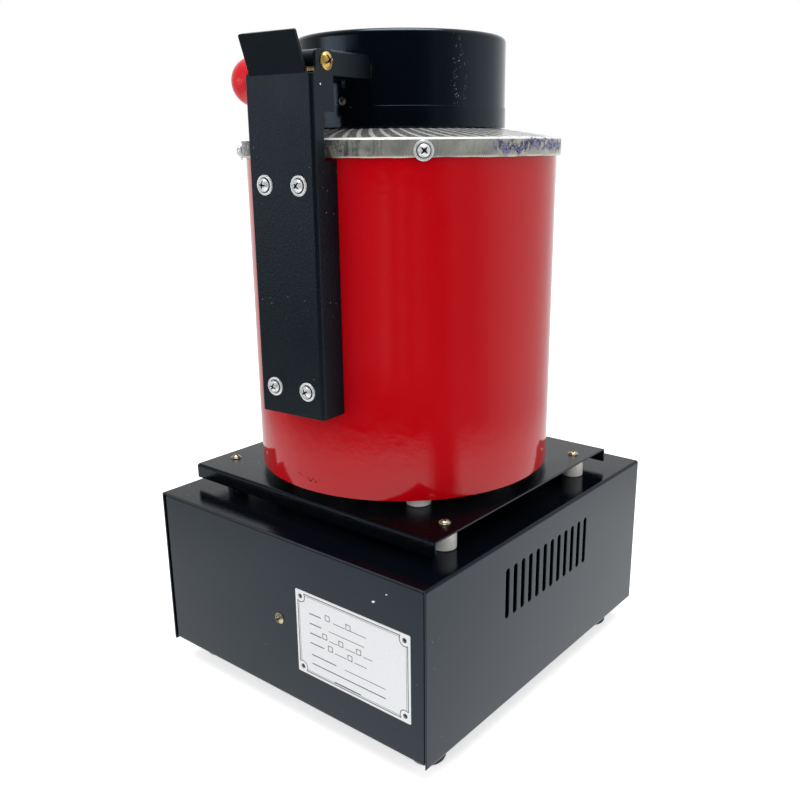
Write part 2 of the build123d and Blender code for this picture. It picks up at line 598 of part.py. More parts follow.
def build_barrel():
    """Enamelled shell, its floor and the pressed ring on top."""
    shell = tube(BARREL_RADIUS, WALL_INNER, Z_BARREL, Z_SHELL_TOP)
    reach = RING_RADIUS - WALL_INNER + 5
    shell -= [place * rod(M4[0] + HOLE_GAP, -reach, 1) for place in RING_SCREWS]
    through = BRACKET_NUT_DEPTH + 5
    shell -= [place * rod(M4[0] + HOLE_GAP, -through, 1) for place in BRACKET_SCREWS]
    keep("barrel_shell", shell, turned=True)
    floor = rod(WALL_INNER, Z_BARREL, Z_SHELL)
    floor -= bores(BARREL_PLACES, M5[0] + HOLE_GAP, Z_BARREL - 1, Z_SHELL + 1)
    floor -= bores(BUSHING_PLACES, BUSHING_RADIUS + BUSHING_GAP, Z_BARREL - 1, Z_SHELL + 1)
    keep("barrel_floor", floor)
    upper = [(RING_RADIUS, Z_RING_LOW), (RING_RADIUS, Z_RING_TOP), (RING_SEAT_RADIUS, Z_SEAT),
             (MOUTH_RADIUS, Z_SEAT), (MOUTH_RADIUS, Z_SEAT - MOUTH_LIP)]
    inside = MOUTH_RADIUS + RING_SHEET
    under = [(inside, Z_SEAT - MOUTH_LIP), (inside, Z_SEAT - RING_SHEET),
             (RING_SEAT_RADIUS, Z_SEAT - RING_SHEET),
             (RING_RADIUS - RING_SHEET, Z_RING_TOP - RING_SHEET), (RING_RADIUS - RING_SHEET, Z_RING_LOW)]
    ring = turned_profile(upper + under)
    ring -= [place * rod(M4[0] + HOLE_GAP, -reach, 1) for place in RING_SCREWS]
    keep("top_ring", ring, turned=True)
    pan = screw(M4, RING_RADIUS - WALL_INNER + 2 * SCREW_TAIL, WASHER_RADIUS)
    keep("ring_screws", group(place * pan for place in RING_SCREWS), turned=True)


def build_well():
    """Fibre, heater tube, coil, crucible and the pieces that come up through the floor."""
    outer = WALL_INNER - FIBRE_GAP
    floor = rod(outer, Z_SHELL, Z_WELL)
    floor -= bores(BARREL_PLACES, M5[1] + HOLE_GAP, Z_SHELL - 1, Z_SHELL + M5[2] + HOLE_GAP)
    floor -= bores(BUSHING_PLACES, BUSHING_RADIUS + BUSHING_GAP, Z_SHELL - 1, Z_WELL + 1)
    nut_room = [place * rod(NUT_ROOM_RADIUS, -BRACKET_NUT_DEPTH - NUT_ROOM_DEPTH, 0)
                for place in BRACKET_SCREWS]
    floor -= unturned(nut_room)
    keep("insulation_floor", floor)
    well_top = Z_SEAT - RING_SHEET - FIBRE_GAP
    edge_top = Z_RING_TOP - RING_SHEET - FIBRE_GAP
    inner = WELL_OUTER + FIBRE_GAP
    blanket = turned_profile([(inner, Z_WELL), (outer, Z_WELL), (outer, edge_top),
                              (RING_SEAT_RADIUS, well_top), (inner, well_top)])
    tip = RING_RADIUS - outer + TIP_ROOM_DEPTH
    blanket -= nut_room + [place * rod(TIP_ROOM_RADIUS, -tip, 0) for place in RING_SCREWS]
    keep("insulation_blanket", blanket, turned=True)
    well = tube(WELL_OUTER, WELL_INNER, Z_WELL, well_top)
    start = Z_WELL + COIL_BOTTOM
    finish = start + COIL_TURNS * COIL_PITCH
    groove = LEAD_RADIUS + BUSHING_GAP
    well -= rod(groove, Z_WELL - 1, finish + groove, *RETURN_PLACE)
    well -= block(-LEAD_CIRCLE, 0, -groove, groove, finish - groove, finish + groove)
    keep("heater_tube", well)
    path = Pos(0, 0, start) * Helix(COIL_PITCH, COIL_TURNS * COIL_PITCH, COIL_RADIUS)
    coil = sweep(Plane(origin=path @ 0, z_dir=path % 0) * Circle(COIL_WIRE), path, is_frenet=True)
    keep("heating_coil", coil)
    tail = Z_COVER_TOP - LEAD_TAIL
    feed = rod(LEAD_RADIUS, tail, start - COIL_WIRE, *FEED_PLACE)
    back = rod(LEAD_RADIUS, tail, finish, *RETURN_PLACE)
    span = LEAD_CIRCLE - COIL_RADIUS - COIL_WIRE
    across = facing(-LEAD_CIRCLE, 0, finish, (1, 0, 0)) * rod(LEAD_RADIUS, 0, span)
    back += across + Pos(-LEAD_CIRCLE, 0, finish) * Sphere(LEAD_RADIUS)
    keep("heater_leads", group([feed, back]))
    low = Z_COVER_TOP - BUSHING_DROP
    sleeves = []
    for place, radius in zip(BUSHING_PLACES, (LEAD_RADIUS, LEAD_RADIUS, PROBE_RADIUS)):
        sleeve = rod(BUSHING_RADIUS, low, Z_WELL, *place)
        sleeves.append(sleeve - rod(radius + BUSHING_GAP, low - 1, Z_WELL + 1, *place))
    keep("lead_bushings", group(sleeves))
    probe = rod(PROBE_RADIUS, tail, Z_WELL + PROBE_TIP, *PROBE_PLACE)
    keep("thermocouple", fillet(probe.edges().group_by(Axis.Z)[-1], PROBE_RADIUS * 0.8))
    stand = chamfer(rod(STAND_RADIUS, Z_WELL, Z_WELL + STAND_HEIGHT).edges(), SPACER_CHAMFER)
    keep("crucible_stand", stand)
    foot = Z_WELL + STAND_HEIGHT
    rim = foot + CRUCIBLE_HEIGHT
    pot = turned_profile([(0, foot), (CRUCIBLE_FOOT_RADIUS, foot), (CRUCIBLE_TOP_RADIUS, rim),
                          (CRUCIBLE_TOP_RADIUS - CRUCIBLE_WALL, rim),
                          (CRUCIBLE_FOOT_RADIUS - CRUCIBLE_WALL, foot + CRUCIBLE_FLOOR),
                          (0, foot + CRUCIBLE_FLOOR)])
    keep("crucible", pot)


def unturned(pieces):
    """Pieces of the barrel's frame, seen from the deck's frame."""
    return [Rot(0, 0, BARREL_TURN) * piece for piece in pieces]


# ------------------------------------------------------------------ hinge bracket
def build_bracket():
    """Channel that stands on the barrel, with two cheeks for the pin and a tab that leans out."""
    place = Pos(0, BRACKET_FACE / 2)
    bend = BRACKET_BEND_INSIDE
    outer = place * RectangleRounded(2 * BRACKET_HALF, BRACKET_FACE, bend + BRACKET_SHEET)
    clear = 2 * (BRACKET_HALF - BRACKET_SHEET)
    inner = place * RectangleRounded(clear, BRACKET_FACE - 2 * BRACKET_SHEET, bend)
    channel = Pos(0, 0, BRACKET_LOW) * extrude(outer - inner, BRACKET_TOP - BRACKET_LOW)
    split = BRACKET_FOLD + RELIEF_RADIUS
    past = BRACKET_FACE + 1
    side = Polyline((FLANGE_EDGE, BRACKET_LOW), (past, BRACKET_LOW), (past, split), (CHEEK_REAR, split),
                    (CHEEK_REAR, BRACKET_TOP), (CHEEK_FRONT, BRACKET_TOP), (CHEEK_FRONT, NOTCH_HIGH),
                    (NOTCH_DEPTH, NOTCH_HIGH), (NOTCH_DEPTH, NOTCH_LOW), (FLANGE_EDGE, NOTCH_LOW), close=True)
    outline = make_face(side)
    top = outline.vertices().group_by(Axis.Y)[-1]
    outline = fillet(top, CHEEK_ROUND)
    bracket = channel & prism_x(outline, -BRACKET_HALF - 1, BRACKET_HALF + 1)
    above = BRACKET_FOLD + TAB_LENGTH
    bracket -= block(-TAB_HALF, TAB_HALF, CHEEK_REAR, past, BRACKET_FOLD, above)
    tab = block(-TAB_HALF, TAB_HALF, -BRACKET_SHEET, 0, 0, TAB_LENGTH)
    tab = fillet(tab.edges().filter_by(Axis.Y).group_by(Axis.Z)[-1], TAB_ROUND)
    root = block(-TAB_HALF, TAB_HALF, -BRACKET_SHEET, 0, -BRACKET_SHEET, BRACKET_SHEET)
    tab += prism_x(Circle(BRACKET_SHEET), -TAB_HALF, TAB_HALF) & root
    bracket += Pos(0, BRACKET_FACE, BRACKET_FOLD) * Rot(-TAB_LEAN, 0, 0) * tab
    for s in (-1, 1):
        corner = facing(s * (BRACKET_HALF - BRACKET_SHEET), BRACKET_FACE - BRACKET_SHEET, split, (s, 1, 0))
        bracket -= corner * rod(RELIEF_RADIUS, -1.5 * BRACKET_SHEET, 3 * BRACKET_SHEET)
    bracket -= facing(0, PIN_Y, PIN_Z, (1, 0, 0)) * rod(M5[0] + HOLE_GAP, -BRACKET_HALF - 1, BRACKET_HALF + 1)
    return bracket - [place * rod(M4[0] + HOLE_GAP, -2 * BRACKET_SHEET, 1) for place in BRACKET_SCREWS]


def build_hinge():
    """Bracket, pin and their fixings."""
    keep("hinge_bracket", build_bracket(), turned=True)
    long_screw = screw(M4, BRACKET_NUT_DEPTH + nut_height(M4) + 2 * SCREW_TAIL, WASHER_RADIUS)
    keep("bracket_screws", group(place * long_screw for place in BRACKET_SCREWS), turned=True)
    inside = Pos(0, 0, -BRACKET_NUT_DEPTH - nut_height(M4)) * nut(M4)
    keep("bracket_nuts", group(place * inside for place in BRACKET_SCREWS), turned=True)
    half = BRACKET_HALF - BRACKET_SHEET
    pin = rod(PIN_RADIUS, -half, half)
    bore = M5[0] + THREAD_GAP
    pin -= [rod(bore, half - PIN_THREAD - 1, half + 1), rod(bore, -half - 1, -half + PIN_THREAD + 1)]
    axis = facing(0, PIN_Y, PIN_Z, (1, 0, 0))
    keep("hinge_pin", axis * pin, turned=True)
    pan = screw(M5, BRACKET_SHEET + PIN_THREAD)
    ends = [axis * Pos(0, 0, BRACKET_HALF) * pan, axis * Pos(0, 0, -BRACKET_HALF) * Rot(180, 0, 0) * pan]
    keep("hinge_screws", group(ends), turned=True)


# ------------------------------------------------------------------ lid
ARM_TOP = PIN_Z + KNUCKLE_OUTER
ARM_SCREW_Z = (ARM_LOW + ARM_TOP) / 2
ARM_SCREWS = [outward(90 + s * ARM_SCREW_ANGLE, LID_RADIUS + ARM_SHEET + ARM_TOUCH, ARM_SCREW_Z)
              for s in (-1, 1)]
LID_SCREW_Z = Z_LID + BAND_HEIGHT + LID_SCREW_RISE
LID_SCREWS = [outward(LID_SCREW_ANGLE + i * 360 / LID_SCREW_COUNT, LID_RADIUS, LID_SCREW_Z)
              for i in range(LID_SCREW_COUNT)]


def build_arm():
    """Inverted channel: ears between the cheeks, a knuckle rolled round the pin, a saddle on the lid."""
    ear_in = EAR_OUTER - ARM_SHEET
    lid_side = LID_RADIUS + ARM_TOUCH
    axis = facing(0, PIN_Y, PIN_Z, (1, 0, 0))
    running = PIN_RADIUS + PIN_RUNNING
    blank = block(-EAR_OUTER, EAR_OUTER, 0, PIN_Y, ARM_LOW, ARM_TOP)
    blank = fillet(blank.edges().filter_by(Axis.Y).group_by(Axis.Z)[-1], ARM_SHEET)
    blank += axis * rod(KNUCKLE_OUTER, -EAR_OUTER, EAR_OUTER)
    hollow = block(-ear_in, ear_in, -1, PIN_Y, ARM_LOW - 1, ARM_TOP - ARM_SHEET)
    hollow += block(-ear_in, ear_in, PIN_Y - 1, PIN_Y + 2 * KNUCKLE_OUTER, ARM_LOW - 1, PIN_Z - KNUCKLE_DROP)
    arm = blank - hollow - rod(lid_side, ARM_LOW - 1, ARM_TOP + 1)
    saddle = tube(lid_side + ARM_SHEET, lid_side, ARM_LOW, ARM_TOP)
    arm += saddle & block(-ear_in, ear_in, 0, PIN_Y, ARM_LOW, ARM_TOP)
    arm -= axis * rod(running, -EAR_OUTER - 1, EAR_OUTER + 1)
    return arm - [place * rod(M4[0] + HOLE_GAP, -ARM_BORE, 1) for place in ARM_SCREWS]


def build_lid():
    """Lid shell with its band, insulation and small screws."""
    foot = Z_LID + BAND_SHEET
    shell = rod(LID_RADIUS, foot, Z_LID_TOP)
    shell = fillet(shell.edges().group_by(Axis.Z)[-1], LID_ROUND)
    cavity = rod(LID_RADIUS - LID_WALL, foot - 1, Z_LID_TOP - LID_WALL)
    shell -= fillet(cavity.edges().group_by(Axis.Z)[-1], LID_ROUND - LID_WALL)
    shell -= [place * rod(M4[0] + HOLE_GAP, -ARM_BORE, 1) for place in ARM_SCREWS]
    shell -= [place * rod(M3[0] + HOLE_GAP, -LID_SCREW_LONG, 1) for place in LID_SCREWS]
    shell -= facing(0, 0, HANDLE_Z, (1, 0, 0)) * rod(M5[0] + HOLE_GAP, LID_RADIUS - 5, LID_RADIUS + 1)
    keep("lid_shell", shell, turned=True)
    outer = LID_RADIUS + BAND_SHEET
    band = rod(outer, Z_LID, Z_LID + BAND_HEIGHT)
    band = fillet(band.edges().group_by(Axis.Z)[0], BAND_SHEET * 0.9)
    band -= rod(LID_RADIUS, foot, Z_LID + BAND_HEIGHT + 1)
    band -= rod(outer - BAND_LIP, Z_LID - 1, foot + 1)
    keep("lid_band", band, turned=True)
    top = foot + LID_FIBRE
    fibre = rod(LID_RADIUS - LID_WALL - FIBRE_GAP, foot, top)
    fibre += rod(outer - BAND_LIP - FIBRE_GAP, Z_SEAT + LID_SEAT_GAP, foot + 1)
    fibre -= [place * rod(M3[0] + HOLE_GAP, -LID_SCREW_LONG - 1, 1) for place in LID_SCREWS]
    keep("lid_insulation", fibre, turned=True)
    keep("lid_screws", group(place * screw(M3, LID_SCREW_LONG) for place in LID_SCREWS), turned=True)
    keep("lid_arm", build_arm(), turned=True)
    reach = ARM_SHEET + ARM_TOUCH + LID_WALL + LID_NUT_GAP
    pan = screw(M4, reach + nut_height(M4) + SCREW_TAIL)
    keep("arm_screws", group(place * pan for place in ARM_SCREWS), turned=True)
    nuts = [place * Pos(0, 0, -reach - nut_height(M4)) * nut(M4) for place in ARM_SCREWS]
    seat = sqrt((LID_RADIUS - LID_WALL) ** 2 - (NUT_CORNER * M5[0]) ** 2) - nut_height(M5)
    nuts.append(facing(seat, 0, HANDLE_Z, (1, 0, 0)) * nut(M5))
    keep("lid_nuts", group(nuts), turned=True)
    build_handle(seat)


def build_handle(seat):
    """Handle rod with its collar, and the ball knob. The rod's thread starts just behind the nut at seat."""
    axis = facing(0, 0, HANDLE_Z, (1, 0, 0))
    face = HANDLE_REACH - KNOB_FACE
    bar = rod(M5[0], seat - 1, LID_RADIUS + 1) + rod(HANDLE_ROD_RADIUS, LID_RADIUS, face)
    bar += rod(HANDLE_COLLAR_RADIUS, LID_RADIUS, LID_RADIUS + HANDLE_COLLAR)
    bar += rod(KNOB_STUD, face - 1, face + KNOB_THREAD)
    keep("handle_rod", axis * bar, turned=True)
    ball = Sphere(KNOB_RADIUS) - rod(KNOB_RADIUS, -2 * KNOB_RADIUS, -KNOB_FACE)
    ball -= rod(KNOB_STUD + THREAD_GAP, -KNOB_RADIUS, KNOB_THREAD - KNOB_FACE + 0.5)
    keep("handle_knob", axis * Pos(0, 0, HANDLE_REACH) * ball, turned=True)


# ------------------------------------------------------------------ controls
def build_controller():
    """Panel temperature controller: case, window, clamp frame and four keys."""
    face = Y_FRONT - CONTROLLER_PROUD
    half, body = CONTROLLER_FACE / 2, CONTROLLER_BODY / 2
    front = block(CONTROLLER_X - half, CONTROLLER_X + half, face, Y_FRONT,
                  CONTROLLER_Z - half, CONTROLLER_Z + half)
    front = fillet(front.edges().filter_by(Axis.Y), CONTROLLER_CORNER)
    front = chamfer(front.faces().sort_by(Axis.Y)[0].edges(), CONTROLLER_EDGE)
    case = front + block(CONTROLLER_X - body, CONTROLLER_X + body, Y_FRONT - 1, Y_FRONT + CONTROLLER_DEEP,
                         CONTROLLER_Z - body, CONTROLLER_Z + body)
    wide, tall, rise = WINDOW_WIDTH / 2, WINDOW_HEIGHT / 2, CONTROLLER_Z + WINDOW_RISE
    back = face + WINDOW_SUNK + WINDOW_DEEP
    case -= block(CONTROLLER_X - wide, CONTROLLER_X + wide, face - 1, back, rise - tall, rise + tall)
    window = block(CONTROLLER_X - wide, CONTROLLER_X + wide, face + WINDOW_SUNK, back,
                   rise - tall, rise + tall)
    keep("controller_window", window)
    wide, tall = KEY_WIDTH / 2, KEY_HEIGHT / 2
    z = CONTROLLER_Z - KEY_DROP
    room = face + KEY_BURIED + KEY_TRAVEL + KEY_GAP
    names = ("key_set", "key_left", "key_down", "key_up")
    for i, name in enumerate(names):
        x = CONTROLLER_X + (i - (len(names) - 1) / 2) * KEY_PITCH
        case -= block(x - wide - KEY_GAP, x + wide + KEY_GAP, face - 1, room,
                      z - tall - KEY_GAP, z + tall + KEY_GAP)
        key = block(x - wide, x + wide, face - KEY_PROUD, face + KEY_BURIED, z - tall, z + tall)
        keep(name, fillet(key.faces().sort_by(Axis.Y)[0].edges(), KEY_EDGE))
    keep("controller_case", case)
    ring = body + CLAMP_FRAME
    inside = Y_FRONT + SHEET
    clamp = block(CONTROLLER_X - ring, CONTROLLER_X + ring, inside, inside + CLAMP_DEEP,
                  CONTROLLER_Z - ring, CONTROLLER_Z + ring)
    gap = body + CLAMP_GAP
    clamp -= block(CONTROLLER_X - gap, CONTROLLER_X + gap, inside - 1, inside + CLAMP_DEEP + 1,
                   CONTROLLER_Z - gap, CONTROLLER_Z + gap)
    keep("controller_clamp", clamp)


def build_switch():
    """Rocker switch: housing with a bezel, and the rocker on its axle, tilted to off."""
    face = Y_FRONT - SWITCH_BEZEL
    wide, tall = SWITCH_WIDTH / 2, SWITCH_HEIGHT / 2
    bezel = block(SWITCH_X - wide, SWITCH_X + wide, face, Y_FRONT, SWITCH_Z - tall, SWITCH_Z + tall)
    bezel = chamfer(bezel.faces().sort_by(Axis.Y)[0].edges(), SWITCH_EDGE)
    wide, tall = SWITCH_BODY_WIDTH / 2, SWITCH_BODY_HEIGHT / 2
    housing = bezel + block(SWITCH_X - wide, SWITCH_X + wide, Y_FRONT - 1, Y_FRONT + SWITCH_BODY_DEEP,
                            SWITCH_Z - tall, SWITCH_Z + tall)
    axis = face + ROCKER_DEEP
    wide, tall = ROCKER_WIDTH / 2 + ROCKER_SIDE_GAP, ROCKER_HEIGHT / 2 + ROCKER_GAP
    housing -= block(SWITCH_X - wide, SWITCH_X + wide, face - 1, axis + ROCKER_CAVITY,
                     SWITCH_Z - tall, SWITCH_Z + tall)
    end = wide + ROCKER_PIVOT
    pivot = facing(SWITCH_X, axis, SWITCH_Z, (1, 0, 0))
    housing -= pivot * rod(ROCKER_AXLE + ROCKER_RUNNING, -end - ROCKER_RUNNING, end + ROCKER_RUNNING)
    keep("switch_housing", housing)
    half = ROCKER_HEIGHT / 2
    sketch = make_face(Polyline((-ROCKER_PROUD, -half), (-ROCKER_DIP, 0), (-ROCKER_PROUD, half),
                                (ROCKER_BACK, half), (ROCKER_BACK, -half), close=True))
    rocker = prism_x(sketch, -ROCKER_WIDTH / 2, ROCKER_WIDTH / 2)
    rocker += facing(0, 0, 0, (1, 0, 0)) * rod(ROCKER_AXLE, -end, end)
    keep("switch_rocker", Pos(SWITCH_X, axis, SWITCH_Z) * Rot(-ROCKER_TILT, 0, 0) * rocker)


def build_inlet():
    """Mains inlet: flange, body with its socket, three pins, two screws."""
    outer = X_RIGHT + INLET_FLANGE
    place = Pos(INLET_Y, INLET_Z)
    sketch = RectangleRounded(INLET_FLANGE_LONG, INLET_FLANGE_TALL, INLET_CORNER)
    flange = prism_x(place * sketch, X_RIGHT, outer)
    body = place * Rectangle(INLET_BODY_LONG, INLET_BODY_TALL)
    inlet = flange + prism_x(body, X_RIGHT - INLET_BODY_DEEP, X_RIGHT + 1)
    socket = place * Rectangle(INLET_SOCKET_LONG, INLET_SOCKET_TALL)
    socket = chamfer(socket.vertices().group_by(Axis.Y)[-1], INLET_SOCKET_CHAMFER)
    depth = outer - INLET_SOCKET_DEEP
    inlet -= prism_x(socket, depth, outer + 1)
    root = X_RIGHT - INLET_BODY_DEEP - INLET_TAG
    pins = []
    for i, up in ((-1, -1), (0, 1), (1, -1)):
        y, z = INLET_Y + i * INLET_PIN_PITCH, INLET_Z + up * INLET_PIN_RISE
        inlet -= block(root, depth + 1, y - INLET_PIN_THICK / 2, y + INLET_PIN_THICK / 2,
                       z - INLET_PIN_WIDE / 2, z + INLET_PIN_WIDE / 2)
        pin = block(root, depth + INLET_PIN_LONG, y - INLET_PIN_THICK / 2, y + INLET_PIN_THICK / 2,
                    z - INLET_PIN_WIDE / 2, z + INLET_PIN_WIDE / 2)
        pins.append(chamfer(pin.faces().sort_by(Axis.X)[-1].edges(), INLET_PIN_EDGE))
    screws = [facing(outer, INLET_Y + s * INLET_SCREW_PITCH / 2, INLET_Z, (1, 0, 0)) for s in (-1, 1)]
    inlet -= [at * rod(M3[0] + HOLE_GAP, -INLET_FLANGE - 1, 1) for at in screws]
    keep("mains_inlet", inlet)
    keep("inlet_pins", group(pins))
    keep("inlet_screws", group(at * screw(M3, INLET_FLANGE + SHEET + INLET_SCREW_TAIL) for at in screws))


# ------------------------------------------------------------------ power parts inside the base
def build_power():
    """Relay on its heatsink, terminal block and their fixings."""
    wide, long = SINK_WIDE / 2, SINK_LONG / 2
    sink = block(RELAY_X - wide, RELAY_X + wide, RELAY_Y - long, RELAY_Y + long, Z_SINK - SINK_PLATE, Z_SINK)
    step = (SINK_WIDE - SINK_FIN) / (SINK_FINS - 1)
    for i in range(SINK_FINS):
        x = RELAY_X - wide + i * step
        sink += block(x, x + SINK_FIN, RELAY_Y - long, RELAY_Y + long, Z_INSIDE, Z_SINK - SINK_PLATE + 1)
    hole = M4[0] + HOLE_GAP
    sink -= bores(SINK_BOLTS + RELAY_SCREWS, hole, Z_SINK - SINK_PLATE - 1, Z_SINK + 1)
    keep("relay_heatsink", sink)
    wide, long = RELAY_WIDE / 2, RELAY_LONG / 2
    relay = block(RELAY_X - wide, RELAY_X + wide, RELAY_Y - long, RELAY_Y + long, Z_SINK, Z_SINK + RELAY_FOOT)
    body = long - 2 * M4[1] - 1
    top = Z_SINK + RELAY_TALL
    relay += block(RELAY_X - wide, RELAY_X + wide, RELAY_Y - body, RELAY_Y + body, Z_SINK, top)
    relay -= bores(RELAY_SCREWS, hole, Z_SINK - 1, Z_SINK + RELAY_FOOT + 1)
    for x, y in RELAY_TERMINALS:
        relay += rod(BLOCK_WELL_RADIUS, top - 1, top + RELAY_STUD, x, y)
    keep("solid_state_relay", relay)
    wide, long, roof = BLOCK_WIDE / 2, BLOCK_LONG / 2, Z_INSIDE + BLOCK_TALL
    foot = Z_INSIDE + RELAY_FOOT
    strip = block(BLOCK_X - long, BLOCK_X + long, BLOCK_Y - wide, BLOCK_Y + wide, Z_INSIDE, foot)
    inner = long - 2 * M4[1] - 1
    strip += block(BLOCK_X - inner, BLOCK_X + inner, BLOCK_Y - wide, BLOCK_Y + wide, Z_INSIDE, roof)
    strip -= bores(BLOCK_SCREWS, hole, Z_INSIDE - 1, foot + 1)
    strip -= bores(BLOCK_WELLS_AT, BLOCK_WELL_RADIUS, roof - BLOCK_WELL_DEEP, roof + 1)
    keep("terminal_block", strip)
    under = Z_FLOOR - nut_height(M4)
    fixings = [Pos(x, y, Z_SINK) * screw(M4, Z_SINK - under + SCREW_TAIL) for x, y in SINK_BOLTS]
    fixings += [Pos(x, y, foot) * screw(M4, foot - under + SCREW_TAIL) for x, y in BLOCK_SCREWS]
    fixings += [Pos(x, y, under) * nut(M4) for x, y in SINK_BOLTS + BLOCK_SCREWS]
    fixings += [Pos(x, y, Z_SINK + RELAY_FOOT) * screw(M4, RELAY_FOOT + SINK_PLATE) for x, y in RELAY_SCREWS]
    keep("power_fixings", group(fixings))


def wire(*points):
    """Round wire through the points, with its corners rounded."""
    path = FilletPolyline(*points, radius=WIRE_BEND)
    return sweep(Plane(origin=path @ 0, z_dir=path % 0) * Circle(WIRE_RADIUS), path)


def build_wiring():
    """Wires between inlet, switch, terminal block, controller, relay, coil, thermocouple and earth screw."""
    tail = Z_COVER_TOP - LEAD_TAIL
    studs = Z_SINK + RELAY_TALL + RELAY_STUD
    between = (tail + studs) / 2
    over = studs + WIRE_BEND + WIRE_CLEAR
    aside = Z_SINK + M4[2] + WIRE_LANE
    probe = between - WIRE_CLEAR
    wells = Z_INSIDE + BLOCK_TALL - BLOCK_WELL_DEEP
    (ax, ay), (bx, by), (cx, cy), (dx, dy) = RELAY_TERMINALS
    (well_a, well_y), (well_b, _), (well_c, _), (well_d, _) = BLOCK_WELLS_AT
    rear = Y_FRONT + CONTROLLER_DEEP
    before = rear + WIRE_BEND + WIRE_CLEAR
    behind = before + WIRE_LANE
    fx, fy = FEED_PLACE
    rx, ry = RETURN_PLACE
    px, py = PROBE_PLACE
    probe_x, pair_x, near_x = CONTROLLER_X + PROBE_EXIT, CONTROLLER_X + PAIR_EXIT, CONTROLLER_X + NEAR_EXIT
    pins = X_RIGHT - INLET_BODY_DEEP - INLET_TAG
    low, high = INLET_Z - INLET_PIN_RISE, INLET_Z + INLET_PIN_RISE
    live, neutral = INLET_Y - INLET_PIN_PITCH, INLET_Y + INLET_PIN_PITCH
    lane = RELAY_X + SINK_WIDE / 2 + WIRE_CLEAR
    switch = Y_FRONT + SWITCH_BODY_DEEP
    upper, lower = SWITCH_Z + SWITCH_TAG, SWITCH_Z - SWITCH_TAG
    loop, turn = switch + SWITCH_LOOP, switch + SWITCH_TURN
    tip = Y_REAR - SHEET - nut_height(M4) - EARTH_TAIL
    keep("base_wiring", group([
        wire((fx, fy, tail), (fx, fy, between), (dx, dy, between), (dx, dy, studs)),
        wire((rx, ry, tail), (rx, ry, between), (rx, well_y, between), (well_a, well_y, between),
             (well_a, well_y, wells)),
        wire((px, py, tail), (px, py, probe), (probe_x, py, probe), (probe_x, rear, probe)),
        wire((pair_x, rear, aside), (pair_x, behind, aside), (ax, behind, aside), (ax, behind, over),
             (ax, ay, over), (ax, ay, studs)),
        wire((near_x, rear, studs), (near_x, before, studs), (cx, before, studs), (cx, before, between),
             (cx, cy, between), (cx, cy, studs)),
        wire((bx, by, studs), (bx, by, over), (bx, well_y, over), (well_c, well_y, over),
             (well_c, well_y, wells)),
        wire((pins, live, low), (lane, live, low), (lane, loop, low), (SWITCH_X, loop, low),
             (SWITCH_X, loop, upper), (SWITCH_X, switch, upper)),
        wire((SWITCH_X, switch, lower), (SWITCH_X, turn, lower), (well_b, turn, lower),
             (well_b, well_y, lower), (well_b, well_y, wells)),
        wire((pins, neutral, low), (well_d, neutral, low), (well_d, well_y, low), (well_d, well_y, wells)),
        wire((pins, INLET_Y, high), (EARTH_X, INLET_Y, high), (EARTH_X, INLET_Y, EARTH_Z),
             (EARTH_X, tip, EARTH_Z)),
    ]))


build_base()
build_deck()
build_barrel()
build_well()
build_hinge()
build_lid()
build_controller()
build_switch()
build_inlet()
build_power()
build_wiring()

os.makedirs("parts", exist_ok=True)
boxes = [shape.bounding_box() for shape in PARTS.values()]
middle_x = (min(box.min.X for box in boxes) + max(box.max.X for box in boxes)) / 2
middle_y = (min(box.min.Y for box in boxes) + max(box.max.Y for box in boxes)) / 2
for name, shape in PARTS.items():
    export_step(Pos(-middle_x, -middle_y, 0) * shape, f"parts/{name}.step")
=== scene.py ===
"""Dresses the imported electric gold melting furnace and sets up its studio.

The furnace is a vented black box, a deck plate on ceramic spacers, a red enamelled barrel with a steel ring on
top, and a lid on a rear hinge. All lengths are metres in the part's own frame: +Z up, front at -Y.
"""

import logging
import math
from dataclasses import dataclass, field
from enum import Enum
from typing import Callable, Sequence

import bmesh
import bpy
from mathutils import Matrix, Vector


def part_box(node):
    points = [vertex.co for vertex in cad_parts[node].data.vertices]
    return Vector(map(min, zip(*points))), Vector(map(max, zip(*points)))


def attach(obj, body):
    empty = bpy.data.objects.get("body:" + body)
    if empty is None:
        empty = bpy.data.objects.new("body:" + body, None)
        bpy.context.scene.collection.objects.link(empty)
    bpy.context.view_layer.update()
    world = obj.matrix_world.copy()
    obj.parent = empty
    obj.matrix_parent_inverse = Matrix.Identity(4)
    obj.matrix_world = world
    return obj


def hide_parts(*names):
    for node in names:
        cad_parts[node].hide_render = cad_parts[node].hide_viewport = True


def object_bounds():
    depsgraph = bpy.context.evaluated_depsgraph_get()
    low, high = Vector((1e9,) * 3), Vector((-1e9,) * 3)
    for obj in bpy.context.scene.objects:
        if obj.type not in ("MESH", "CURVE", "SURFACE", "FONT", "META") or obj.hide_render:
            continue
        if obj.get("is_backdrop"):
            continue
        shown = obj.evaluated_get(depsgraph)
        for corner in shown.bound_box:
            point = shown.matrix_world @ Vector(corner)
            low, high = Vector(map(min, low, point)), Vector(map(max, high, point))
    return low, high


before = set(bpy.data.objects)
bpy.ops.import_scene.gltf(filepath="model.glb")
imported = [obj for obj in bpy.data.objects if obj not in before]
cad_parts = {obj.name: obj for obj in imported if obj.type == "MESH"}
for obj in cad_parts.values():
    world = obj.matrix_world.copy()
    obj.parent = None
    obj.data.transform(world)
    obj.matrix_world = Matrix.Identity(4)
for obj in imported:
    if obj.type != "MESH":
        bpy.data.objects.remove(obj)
LOG = logging.getLogger("furnace")
MM = 0.001
BARREL_TURN = math.radians(4.75)
RING_RADIUS = 114.7 * MM     # outside of the top ring
RIM_TALL = 12.4 * MM         # height of its rim
RIBS = 72                    # pressed into its cone
RIB_LEAN = -240.0            # shift of their wave, in radians for a metre outwards
Colour = Point = tuple[float, float, float]
Pair = tuple[float, float]
Stops = tuple[Pair, ...]


